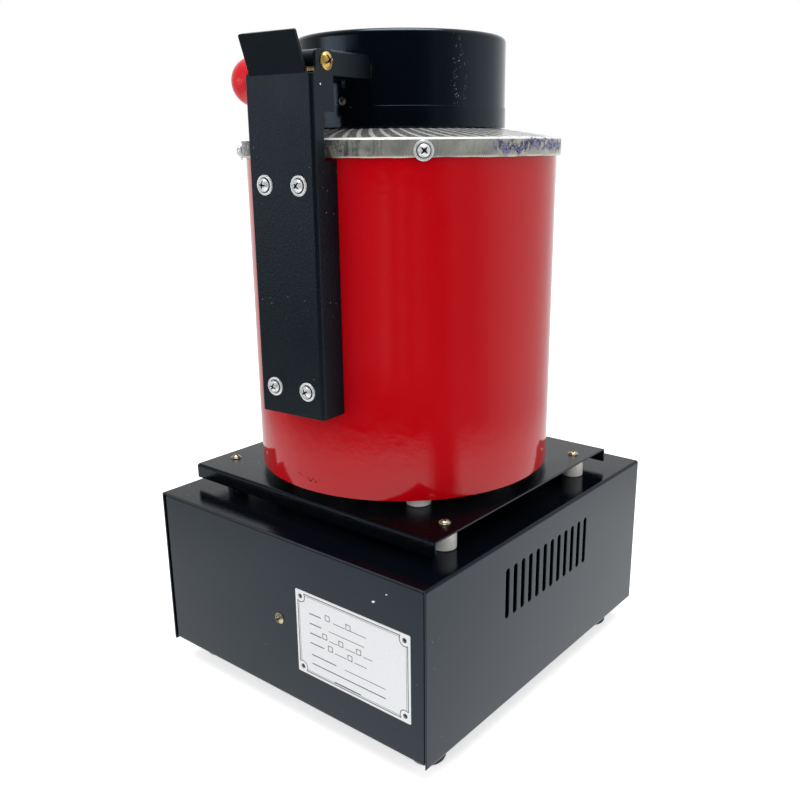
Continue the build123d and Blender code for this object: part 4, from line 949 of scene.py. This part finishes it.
@dataclass
class Chips:
    """Small flaws: two chips on the rear panel, one on the bracket, and scorched spots low on the barrel.

    The places in its lists are millimetres from the barrel's axis and from the floor.
    """

    panel: tuple[tuple[float, float, float], ...] = ((-89.5, 122.0, 1.0), (-100.6, 130.7, 0.6))   # X, Z and size
    panel_slant: float = 0.35
    panel_half: Pair = (1.5 * MM, 0.75 * MM)
    cheek: Point = (-27.0, 122.3, 436.0)
    cheek_half: float = 0.6 * MM
    scorched_half: Pair = (1.1 * MM, 0.8 * MM)
    scorched: tuple[tuple[float, float, float], ...] = (   # degrees round the barrel, Z and size
        (87.8, 178.8, 0.7), (88.8, 177.9, 0.6), (92.0, 176.8, 0.7), (93.1, 175.5, 1.1), (94.3, 177.3, 0.8),
        (95.6, 175.4, 0.95), (97.3, 177.5, 0.6))
    thick: float = 0.03 * MM
    corners: int = 14

    def build(self) -> None:
        """Make the flaws as thin flakes."""
        axis, face = barrel_axis(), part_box("nameplate")[0].y
        shape = bmesh.new()
        for x, z, size in self.panel:
            place = looking(Vector((axis.x + x * MM, face, z * MM)), Vector((0, 1, 0)))
            self.flake(shape, place @ Matrix.Rotation(self.panel_slant, 4, "Z"), *(h * size for h in self.panel_half))
        place = barrel_frame() @ looking(Vector(self.cheek) * MM, Vector((-1, 0, 0)))
        self.flake(shape, place, self.cheek_half, self.cheek_half)
        piece("panel_chips", shape, Shades.CHIP, "furnace", 30)
        shape, wall = bmesh.new(), (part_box("barrel_shell")[1].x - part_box("barrel_shell")[0].x) / 2
        for angle, z, size in self.scorched:
            place = Matrix.Translation(axis) @ on_side(angle, wall, z * MM)
            self.flake(shape, place, *(h * size for h in self.scorched_half))
        piece("scorched_spots", shape, Shades.SCORCH, "furnace", 30)

    def flake(self, shape: bmesh.types.BMesh, place: Matrix, wide: float, tall: float) -> None:
        """Add one flake with an uneven outline.

        Args:
            shape: the mesh that it goes into.
            place: its middle, looking out.
            wide: half its width.
            tall: half its height.
        """
        rings = []
        for out, scale in ((-self.thick, 1.0), (self.thick, 0.9)):
            ring = []
            for i in range(self.corners):
                a = 2 * math.pi * i / self.corners
                uneven = scale * (1 + 0.22 * math.sin(3 * a + wide * 9000) + 0.12 * math.sin(5 * a))
                ring.append(place @ Vector((wide * uneven * math.cos(a), tall * uneven * math.sin(a), out)))
            rings.append(ring)
        plate(shape, *rings)


@dataclass
class Nameplate:
    """Satin plate with a printed double border, rounds at its holes and blank fields. Its sizes are millimetres."""

    hole_inset: float = 4.6
    round_radius: float = 4.3
    rim_radius: float = 1.5
    round_line: float = 0.28
    borders: tuple[Pair, ...] = ((2.1, 0.30), (3.3, 0.13))
    print_depth: Pair = (-0.02, 0.03)
    tick_half: float = 1.9
    tick_line: float = 0.26
    rows: tuple[tuple[float, tuple[int, ...], tuple[int, ...], tuple[int, ...]], ...] = (
        (19.0, (-38, -27), (-16, -5, 0, 14), (-21, -2)), (11.5, (-38, -27), (-20, 12), ()),
        (4.0, (-38, -27), (-20, -12, -5, 4, 11, 19), (-24, -9, 7)),
        (-3.5, (-38, -25), (-15, -4, 3, 14), (-19, -1)),
        (-12.5, (-37, -14), (-6, 30), ()), (-19.5, (-37, 30), (), ()), (-26.0, (-16, 8), (), ()))

    def build(self) -> None:
        """Dress the plate and print it."""
        dress(Shades.PLATE, "nameplate")
        low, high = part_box("nameplate")
        self.middle = Vector(((low.x + high.x) / 2, high.y, (low.z + high.z) / 2))
        self.half = ((high.x - low.x) / 2 / MM, (high.z - low.z) / 2 / MM)
        self.shape = bmesh.new()
        self.border()
        self.fields()
        made = piece("plate_print", self.shape, Shades.INK, "furnace", 30)

    def slab(self, outline: Sequence[Pair]) -> None:
        """Print a filled convex outline.

        Args:
            outline: its corners across and up from the plate's middle, seen from behind.
        """
        plate(self.shape, *([self.middle + Vector((-u, out, v)) * MM for u, v in outline]
                            for out in self.print_depth))

    def bar(self, u_low: float, u_high: float, v_low: float, v_high: float) -> None:
        """Print a rectangle.

        Args:
            u_low: its left side.
            u_high: its right side.
            v_low: its lower side.
            v_high: its upper side.
        """
        self.slab([(u_low, v_low), (u_high, v_low), (u_high, v_high), (u_low, v_high)])

    def border(self) -> None:
        """Print the thick and the thin border line, and the rounds and rims at the holes."""
        wide, tall = self.half
        for inset, thick in self.borders:
            cut = self.hole_inset + math.sqrt(self.round_radius ** 2 - (self.hole_inset - inset) ** 2)
            for side in (-1, 1):
                v, u = side * (tall - inset), side * (wide - inset)
                self.bar(cut - wide, wide - cut, v - thick, v + thick)
                self.bar(u - thick, u + thick, cut - tall, tall - cut)
        lean = math.degrees(math.asin((self.hole_inset - self.borders[0][0]) / self.round_radius))
        for su in (-1, 1):
            for sv in (-1, 1):
                self.arc(su, sv, self.round_radius, -lean, 90 + lean)
                self.arc(su, sv, self.rim_radius, 0, 360)

    def arc(self, su: int, sv: int, radius: float, start: float, end: float) -> None:
        """Print an arc round a hole in short pieces.

        Args:
            su: the hole's side across, -1 or 1.
            sv: the hole's side up, -1 or 1.
            radius: the arc's radius.
            start: where it starts, in degrees from the direction that points into the plate.
            end: where it ends.
        """
        u, v = su * (self.half[0] - self.hole_inset), sv * (self.half[1] - self.hole_inset)
        count = max(8, int((end - start) / 12))
        for i in range(count):
            a, b = (math.radians(start + (end - start) * k / count) for k in (i, i + 1))
            low, high = radius - self.round_line, radius + self.round_line
            self.slab([(u - su * r * math.cos(t), v - sv * r * math.sin(t))
                       for r, t in ((low, a), (low, b), (high, b), (high, a))])

    def fields(self) -> None:
        """Print blank fields: rules to write on and open squares to tick."""
        for level, label, rules, squares in self.rows:
            self.bar(*label, level - 2.4, level - 1.7)
            for low, high in zip(rules[::2], rules[1::2]):
                self.bar(low, high, level - 2.3, level - 1.85)
            for u in squares:
                self.square(u, level - 0.2)

    def square(self, u: float, v: float) -> None:
        """Print an open square.

        Args:
            u: its middle across.
            v: its middle up.
        """
        half, line = self.tick_half, self.tick_line
        for side in (-1, 1):
            self.bar(u - half, u + half, v + side * half - line, v + side * half + line)
            self.bar(u + side * half - line, u + side * half + line, v - half, v + half)


@dataclass
class Deck:
    """Deck plate, its ceramic spacers and its screws."""

    screw_x: float = 104.5 * MM
    screw_y: float = 86.0 * MM
    screw: PanScrew = field(default_factory=lambda: PanScrew(length=20.0 * MM))

    def build(self) -> None:
        """Dress the deck and make its screws."""
        dress(Shades.DECK, "deck_plate")
        dress(Shades.CERAMIC, "deck_spacers", "barrel_spacers", "lead_bushings")
        dress(Shades.ZINC, "deck_nuts", "barrel_bolts", "barrel_nuts")
        top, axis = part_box("deck_plate")[1].z, barrel_axis()
        places = [Matrix.Translation(axis + Vector((sx * self.screw_x, sy * self.screw_y, top)))
                  for sx in (-1, 1) for sy in (-1, 1)]
        ScrewSet("deck_screws", "furnace", Shades.DULL_BRASS, self.screw, places).build()


# ---------------------------------------------------------------- barrel
@dataclass
class Barrel:
    """Enamelled barrel, the steel ring with its screws, and what is inside."""

    seat_radius: float = 72.0 * MM
    mouth_radius: float = 48.0 * MM
    round_off: float = 1.6 * MM
    chamfer: float = 2.2 * MM
    sheet: float = 1.0 * MM
    lip: float = 4.0 * MM
    rib_tall: float = 0.35 * MM
    screw_angle: float = 41.5
    screw_drop: float = 7.8 * MM
    steps: int = 720
    screw: PanScrew = field(default_factory=lambda: PanScrew(length=7.0 * MM, washer=6.3 * MM))

    def build(self) -> None:
        """Dress the barrel and its inside, and make the ring and its screws."""
        dress(Shades.ENAMEL, "barrel_shell")
        dress(Shades.STEEL, "barrel_floor")
        dress(Shades.FIBRE, "insulation_blanket", "insulation_floor")
        dress(Shades.REFRACTORY, "heater_tube", "crucible_stand")
        dress(Shades.GRAPHITE, "crucible")
        dress(Shades.HEATER, "heating_coil", "heater_leads", "thermocouple")
        self.ring()
        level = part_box("top_ring")[0].z + RIM_TALL - self.screw_drop
        places = [barrel_frame() @ on_side(self.screw_angle + 90 * i, RING_RADIUS, level) for i in range(4)]
        ScrewSet("ring_screws", "furnace", Shades.ZINC, self.screw, places).build()

    def ring(self) -> None:
        """Make the pressed ring: rim with an uneven edge, ribbed cone, seat and lip."""
        low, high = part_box("top_ring")
        foot, seat = low.z, high.z
        top = foot + RIM_TALL
        r, s, mouth = RING_RADIUS, self.sheet, self.mouth_radius
        start = r - self.chamfer
        cone = [(start + (self.seat_radius - start) * t, top + (seat - top) * t)
                for t in (0.0, 0.03, 0.06, 0.12, 0.3, 0.5, 0.7, 0.88, 0.94, 1.0)]
        outer = [(r - s, foot), (r - 0.15 * MM, foot), (r, foot + 0.2 * MM), (r, foot + 4 * MM),
                 (r, top - self.round_off), (r - 0.15 * MM, top - 1.2 * MM), (r - 1.1 * MM, top - 0.16 * MM)]
        inner = [(mouth + s, seat), (mouth, seat - s), (mouth, seat - self.lip), (mouth + s, seat - self.lip),
                 (mouth + s, seat - s), (self.seat_radius, seat - s), (r - s, top - s), (r - s, foot)]

        def pressed(radius: float, height: float, angle: float) -> Pair:
            """Press ribs into the cone, and wave the rim's lower edge slightly.

            Args:
                radius: from the barrel's axis.
                height: above the floor.
                angle: round the axis, in radians.

            Returns:
                The radius and height after pressing.
            """
            t = (r - radius) / (r - self.seat_radius)
            if height > top + 0.05 * MM and 0.04 < t < 0.97:
                wave = 0.5 + 0.5 * math.cos(RIBS * angle + RIB_LEAN * radius)
                fade = min(1.0, (t - 0.04) / 0.08, (0.97 - t) / 0.08)
                return radius, height - self.rib_tall * (1 - wave ** 2) * fade
            if height < foot + 0.3 * MM:
                uneven = 0.18 * math.sin(3 * angle + 1) + 0.12 * math.sin(11 * angle) + 0.08 * math.sin(37 * angle)
                return radius, height + (0.4 + uneven) * MM
            return radius, height

        shape = bmesh.new()
        revolved(shape, barrel_frame(), outer + cone + inner, self.steps, pressed)
        made = piece("pressed_ring", shape, Shades.RING, "furnace", 50)
        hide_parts("top_ring")


# ---------------------------------------------------------------- hinge and lid
@dataclass
class Hinge:
    """Bracket behind the barrel, brass rod and screws."""

    face: float = 130.3 * MM
    screw_x: float = 14.0 * MM
    screw_levels: Pair = (246.8 * MM, 377.4 * MM)
    cheek: float = 27.0 * MM
    pin_y: float = 116.4 * MM
    pin_z: float = 449.2 * MM

    def build(self) -> None:
        """Dress the bracket and make its screws."""
        dress(Shades.BRACKET, "hinge_bracket")
        dress(Shades.BRASS, "hinge_pin")
        dress(Shades.ZINC, "bracket_nuts")
        back = Vector((0, 1, 0))
        places = [barrel_frame() @ looking(Vector((sx * self.screw_x, self.face, z)), back)
                  for sx in (-1, 1) for z in self.screw_levels]
        ScrewSet("bracket_screws", "furnace", Shades.ZINC, PanScrew(length=26 * MM, washer=6.3 * MM), places).build()
        ends = [barrel_frame() @ looking(Vector((sx * self.cheek, self.pin_y, self.pin_z)), Vector((sx, 0, 0)))
                for sx in (-1, 1)]
        pan = PanScrew(head=5.3 * MM, tall=3.5 * MM, shank=2.5 * MM, length=12 * MM)
        ScrewSet("hinge_screws", "furnace", Shades.BRASS, pan, ends).build()


@dataclass
class Lid:
    """Lid with its arm, small screws, handle rod and ball."""

    radius: float = 74.2 * MM
    small_angle: float = 94.0
    small_rise: float = 3.2 * MM
    arm_angle: float = 8.5
    arm_sheet: float = 2.05 * MM
    handle_reach: float = 141.2 * MM
    ball: float = 19.2 * MM
    ball_face: float = 16.5 * MM
    ball_bore: float = 5.6 * MM
    ball_rings: int = 48
    ball_steps: int = 96
    parting: Pair = (0.004, 0.02)   # the line's depth and width, as shares of the ball's radius

    def build(self) -> None:
        """Dress the lid, and make its screws and the ball."""
        dress(Shades.LID, "lid_shell", "lid_band")
        dress(Shades.BRACKET, "lid_arm")
        dress(Shades.FIBRE, "lid_insulation")
        dress(Shades.ZINC, "lid_nuts", "handle_rod")
        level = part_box("lid_band")[1].z + self.small_rise
        small = PanScrew(head=2.6 * MM, tall=1.9 * MM, shank=1.5 * MM, length=8 * MM)
        spots = [barrel_frame() @ on_side(self.small_angle + 180 * i, self.radius, level) for i in range(2)]
        ScrewSet("lid_screws", "lid", Shades.STEEL, small, spots).build()
        low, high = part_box("arm_screws")
        level, out = (low.z + high.z) / 2, self.radius + self.arm_sheet
        spots = [barrel_frame() @ on_side(90 + s * self.arm_angle, out, level) for s in (-1, 1)]
        ScrewSet("arm_screws", "lid", Shades.ZINC, PanScrew(length=7 * MM), spots).build()
        self.knob()

    def knob(self) -> None:
        """Make the moulded ball with its flat face and parting line."""
        low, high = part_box("handle_knob")
        place = barrel_frame() @ looking(Vector((self.handle_reach, 0, (low.z + high.z) / 2)), Vector((1, 0, 0)))
        rim = math.sqrt(self.ball ** 2 - self.ball_face ** 2)
        points = [(self.ball_bore, -self.ball_face), (rim - 0.4 * MM, -self.ball_face)]
        start = math.asin(-self.ball_face / self.ball)
        depth, width = self.parting
        for i in range(1, self.ball_rings + 1):
            a = start + (math.pi / 2 - start) * i / self.ball_rings
            r = self.ball * (1 - depth * math.exp(-(a / width) ** 2))
            points.append((max(r * math.cos(a), 1e-5), r * math.sin(a)))
        shape = bmesh.new()
        revolved(shape, place, points, self.ball_steps)
        made = piece("handle_ball", shape, Shades.BALL, "lid", 60)
        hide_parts("handle_knob")


# ---------------------------------------------------------------- controls and inside of the box
@dataclass
class Controls:
    """Controller, switch and inlet, with their plain marks."""

    mark_depth: Pair = (0.12 * MM, -0.02 * MM)
    screw_inset: float = 2.6 * MM

    def build(self) -> None:
        """Dress the controls and add their marks."""
        dress(Shades.CASE, "controller_case", "controller_clamp", "switch_housing", "mains_inlet")
        dress(Shades.GLASS, "controller_window")
        dress(Shades.KEY, "key_set", "key_left", "key_down", "key_up")
        dress(Shades.ROCKER, "switch_rocker")
        dress(Shades.BRASS, "inlet_pins")
        low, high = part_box("inlet_screws")
        face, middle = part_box("mains_inlet")[1].x, (low.z + high.z) / 2
        pan = PanScrew(head=2.6 * MM, tall=1.9 * MM, shank=1.5 * MM, length=6 * MM)
        spots = [looking(Vector((face, y, middle)), Vector((1, 0, 0)))
                 for y in (low.y + self.screw_inset, high.y - self.screw_inset)]
        ScrewSet("inlet_screws", "furnace", Shades.ZINC, pan, spots).build()
        for node, sides, start, radius in (("key_left", 3, 180, 1.7 * MM), ("key_down", 3, 270, 1.7 * MM),
                                           ("key_up", 3, 90, 1.7 * MM), ("key_set", 24, 0, 1.2 * MM)):
            self.mark(node, sides, start, radius)

    def mark(self, node: str, sides: int, start: float, radius: float) -> None:
        """Print a small triangle or a round on a key's face.

        Args:
            node: the key.
            sides: how many sides it has.
            start: direction of its first corner, in degrees, seen from the front.
            radius: the corners' distance from the middle.
        """
        low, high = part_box(node)
        x, z = (low.x + high.x) / 2, (low.z + high.z) / 2
        angles = [math.radians(start + 360 * i / sides) for i in range(sides)]
        shape = bmesh.new()
        plate(shape, *([Vector((x + radius * math.cos(a), low.y + depth, z + radius * math.sin(a))) for a in angles]
                       for depth in self.mark_depth))
        made = piece("mark_" + node, shape, Shades.CASE, node + "_button")


@dataclass
class PowerParts:
    """What stands inside the box."""

    def build(self) -> None:
        """Dress relay, heatsink, terminal block, fixings and wires."""
        dress(Shades.PALE, "solid_state_relay", "terminal_block")
        dress(Shades.FINS, "relay_heatsink")
        dress(Shades.ZINC, "power_fixings")
        dress(Shades.JACKET, "base_wiring")


# ---------------------------------------------------------------- studio
@dataclass
class Studio:
    """White table, pale surroundings, soft lamps and the camera. Its curves run over degrees from the camera."""

    lens: float = 39.95
    shift: Pair = (-0.0151, 0.0045)
    azimuth: float = 219.04
    elevation: float = 16.28
    roll: float = -0.47
    stand: Point = (-428.85 * MM, 519.10 * MM, 401.26 * MM)
    near_gloss: float = 1.45
    near_fade: Pair = (0.35, 0.60)      # metres from the barrel's axis, as are the next five
    strip_start: Pair = (0.34, 0.44)
    fade: Pair = (0.60, 0.80)
    streaks_start: Pair = (0.95, 1.20)
    web_start: Pair = (1.8, 3.2)
    glow_start: Pair = (0.3, 1.8)
    panel: float = 7.0
    panel_edge: Pair = (0.90, 0.96)     # rise of a direction, as are the next two
    band_foot: Pair = (-0.02, 0.03)
    band_top: Pair = (0.22, 0.12)
    even: Colour = (0.46, 0.46, 0.46)
    room: Stops = (
        (-180, 0.95), (-150, 0.80), (-120, 0.40), (-92, 0.22), (-70, 0.12), (-40, 0.01), (15, 0.01), (30, 0.055),
        (37, 0.15), (50, 0.16), (56, 0.21), (63, 0.34), (70, 0.48), (78, 0.58), (90, 0.67), (115, 0.68), (135, 0.80),
        (155, 0.95), (180, 0.95))
    near_turn: Stops = ((-180, 0.95), (-60, 0.80), (-20, 0.90), (20, 0.95), (180, 0.95))
    stand_strip: Stops = (
        (-180, 0.95), (-60, 0.80), (0, 1.0), (14, 1.0), (22, 0.05), (33, 0.05), (41, 1.05), (180, 1.0))
    streaks: Stops = (
        (-40, 0.0), (-18, 0.10), (-12, 0.25), (-6, 0.06), (0, 0.14), (6, 0.05), (12, 0.12), (18, 0.04), (26, 0.0))
    web_patch: Stops = ((-96, 0.0), (-84, 1.6), (-68, 1.5), (-56, 0.45), (-42, 0.0))
    lamps: tuple[tuple[str, Point, Point, float, float], ...] = (
        ("overhead", (0.0, 0.0, 2.2), (0.0, 0.0, 0.0), 2.6, 44.0),
        ("left fill", (0.5, 2.0, 1.0), (0.0, 0.0, 0.3), 1.6, 14.0),
        ("right fill", (-2.0, 0.3, 1.0), (0.0, 0.0, 0.3), 1.6, 10.0))

    def build(self) -> None:
        """Make the whole studio."""
        self.camera()
        self.table()
        self.surroundings()
        for lamp in self.lamps:
            self.lamp(*lamp)
        bpy.context.scene.view_settings.view_transform = "Standard"

    def towards(self) -> Vector:
        """Direction on the floor from the barrel to the camera."""
        a = math.radians(self.azimuth)
        return Vector((math.sin(a), -math.cos(a), 0.0))

    def camera(self) -> None:
        """Place the camera."""
        e, r = math.radians(self.elevation), math.radians(self.roll)
        back = self.towards() * math.cos(e) + Vector((0, 0, math.sin(e)))
        right = (-back).cross(Vector((0, 0, 1))).normalized()
        up = right.cross(-back)
        across = right * math.cos(r) + up * math.sin(r)
        above = up * math.cos(r) - right * math.sin(r)
        data = bpy.data.cameras.new("camera")
        data.lens = self.lens
        data.sensor_width = 36.0
        data.shift_x, data.shift_y = self.shift
        data.clip_start, data.clip_end = 0.01, 50.0
        made = bpy.data.objects.new("camera", data)
        place = Matrix((across, above, back)).transposed().to_4x4()
        place.translation = barrel_axis() + Vector(self.stand)
        made.matrix_world = place
        bpy.context.scene.collection.objects.link(made)
        bpy.context.scene.camera = made

    def around(self, x: Signal, y: Signal) -> Signal:
        """Direction round the furnace as a factor: 0.5 towards the camera, rising anticlockwise from above.

        Args:
            x: the X component.
            y: the Y component.

        Returns:
            The factor, from 0 to 1.
        """
        way, calc = self.towards(), x.graph.calc
        turn = calc("ARCTAN2", x * -way.y + y * way.x, x * way.x + y * way.y)
        return calc("DIVIDE", turn, 2 * math.pi) + 0.5

    def table(self) -> None:
        """Make the white table. In gloss it fades into the room some way off, with a stand's dark strip."""
        shape = bmesh.new()
        bmesh.ops.create_grid(shape, x_segments=8, y_segments=8, size=8.0)
        data = bpy.data.meshes.new("table")
        shape.to_mesh(data)
        shape.free()
        made = bpy.data.objects.new("table", data)
        made.location.z = -0.2 * MM
        bpy.context.scene.collection.objects.link(made)
        made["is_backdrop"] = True
        paint = bpy.data.materials.new("white table")
        paint.use_nodes = True
        data.materials.append(paint)
        graph = Graph(paint.node_tree)
        x, y = graph.across()
        away, turn = x.hypot(y), self.around(x, y)
        strip = {0: away.span(*self.strip_start), 2: turn.ramp(self.near_turn), 3: turn.ramp(self.stand_strip)}
        near = away.span(*self.near_fade, self.near_gloss, 1.0) * graph.out("Mix", 0, strip)
        far = turn.ramp(self.room) + turn.ramp(self.streaks) * away.span(*self.streaks_start)
        fade = {"Value": away, "From Min": self.fade[0], "From Max": self.fade[1]}
        faded = graph.out("MapRange", 0, fade, interpolation_type="SMOOTHSTEP").blend(near, far)
        level = faded + turn.ramp(self.web_patch) * away.span(*self.web_start, 0.0, 0.5)
        lift = graph.out("LightPath", "Is Camera Ray") * away.span(*self.glow_start, 0.58, 1.0)
        matte = graph.out("BsdfDiffuse", 0, {"Color": (0.90, 0.90, 0.90)})
        glow = graph.out("Emission", 0, {"Color": (1.0, 1.0, 1.0), "Strength": lift})
        lit = graph.out("AddShader", 0, {0: matte, 1: glow})
        seen = graph.out("Emission", 0, {"Color": level, "Strength": 1.0})
        top = graph.out("MixShader", 0, {0: graph.out("LightPath", "Is Glossy Ray"), 1: lit, 2: seen})
        graph.node("OutputMaterial", {0: top})

    def surroundings(self) -> None:
        """Make the room: its own curve in gloss with a bright overhead panel, even and soft as light."""
        world = bpy.data.worlds.new("studio")
        bpy.context.scene.world = world
        world.use_nodes = True
        graph = Graph(world.node_tree)
        way = graph.out("TexCoord", "Generated")
        x, y, rise = (graph.out("SeparateXYZ", i, {0: way}) for i in range(3))
        turn = self.around(x, y)
        band = turn.ramp(self.web_patch) * (rise.span(*self.band_foot) * rise.span(*self.band_top))
        gloss = turn.ramp(self.room) + rise.span(*self.panel_edge, 0.0, self.panel) + band
        even = graph.out("LightPath", "Is Glossy Ray").blend(self.even, gloss)
        seen = graph.out("LightPath", "Is Camera Ray").blend(even, (1.0, 1.0, 1.0))
        graph.node("OutputWorld", {0: graph.out("Background", 0, {"Color": seen, "Strength": 1.0})})

    def lamp(self, name: str, at: Point, aim: Point, size: float, watts: float) -> None:
        """Hang a soft lamp that gives light but no hard reflection.

        Args:
            name: its name.
            at: where it hangs.
            aim: what it points at.
            size: its side.
            watts: its power.
        """
        data = bpy.data.lights.new(name, "AREA")
        data.shape, data.size, data.energy = "SQUARE", size, watts
        made = bpy.data.objects.new(name, data)
        made.location = at
        made.rotation_mode = "QUATERNION"
        made.rotation_quaternion = (Vector(aim) - Vector(at)).to_track_quat("-Z", "Y")
        made.visible_glossy = False
        made.visible_camera = False
        bpy.context.scene.collection.objects.link(made)


def corners() -> list[list[float]]:
    """The shown object's lowest and highest corner as plain lists."""
    return [[round(v, 6) for v in corner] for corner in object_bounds()]


def main() -> None:
    """Build every sub-assembly in order, then the studio."""
    logging.basicConfig(level=logging.INFO, format="%(name)s: %(message)s")
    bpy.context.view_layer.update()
    for part in (Base(), Chips(), Nameplate(), Deck(), Barrel(), Hinge(), Lid(), Controls(), PowerParts(), Studio()):
        LOG.info("building %s", type(part).__name__)
        part.build()


if __name__ == "__main__":
    main()
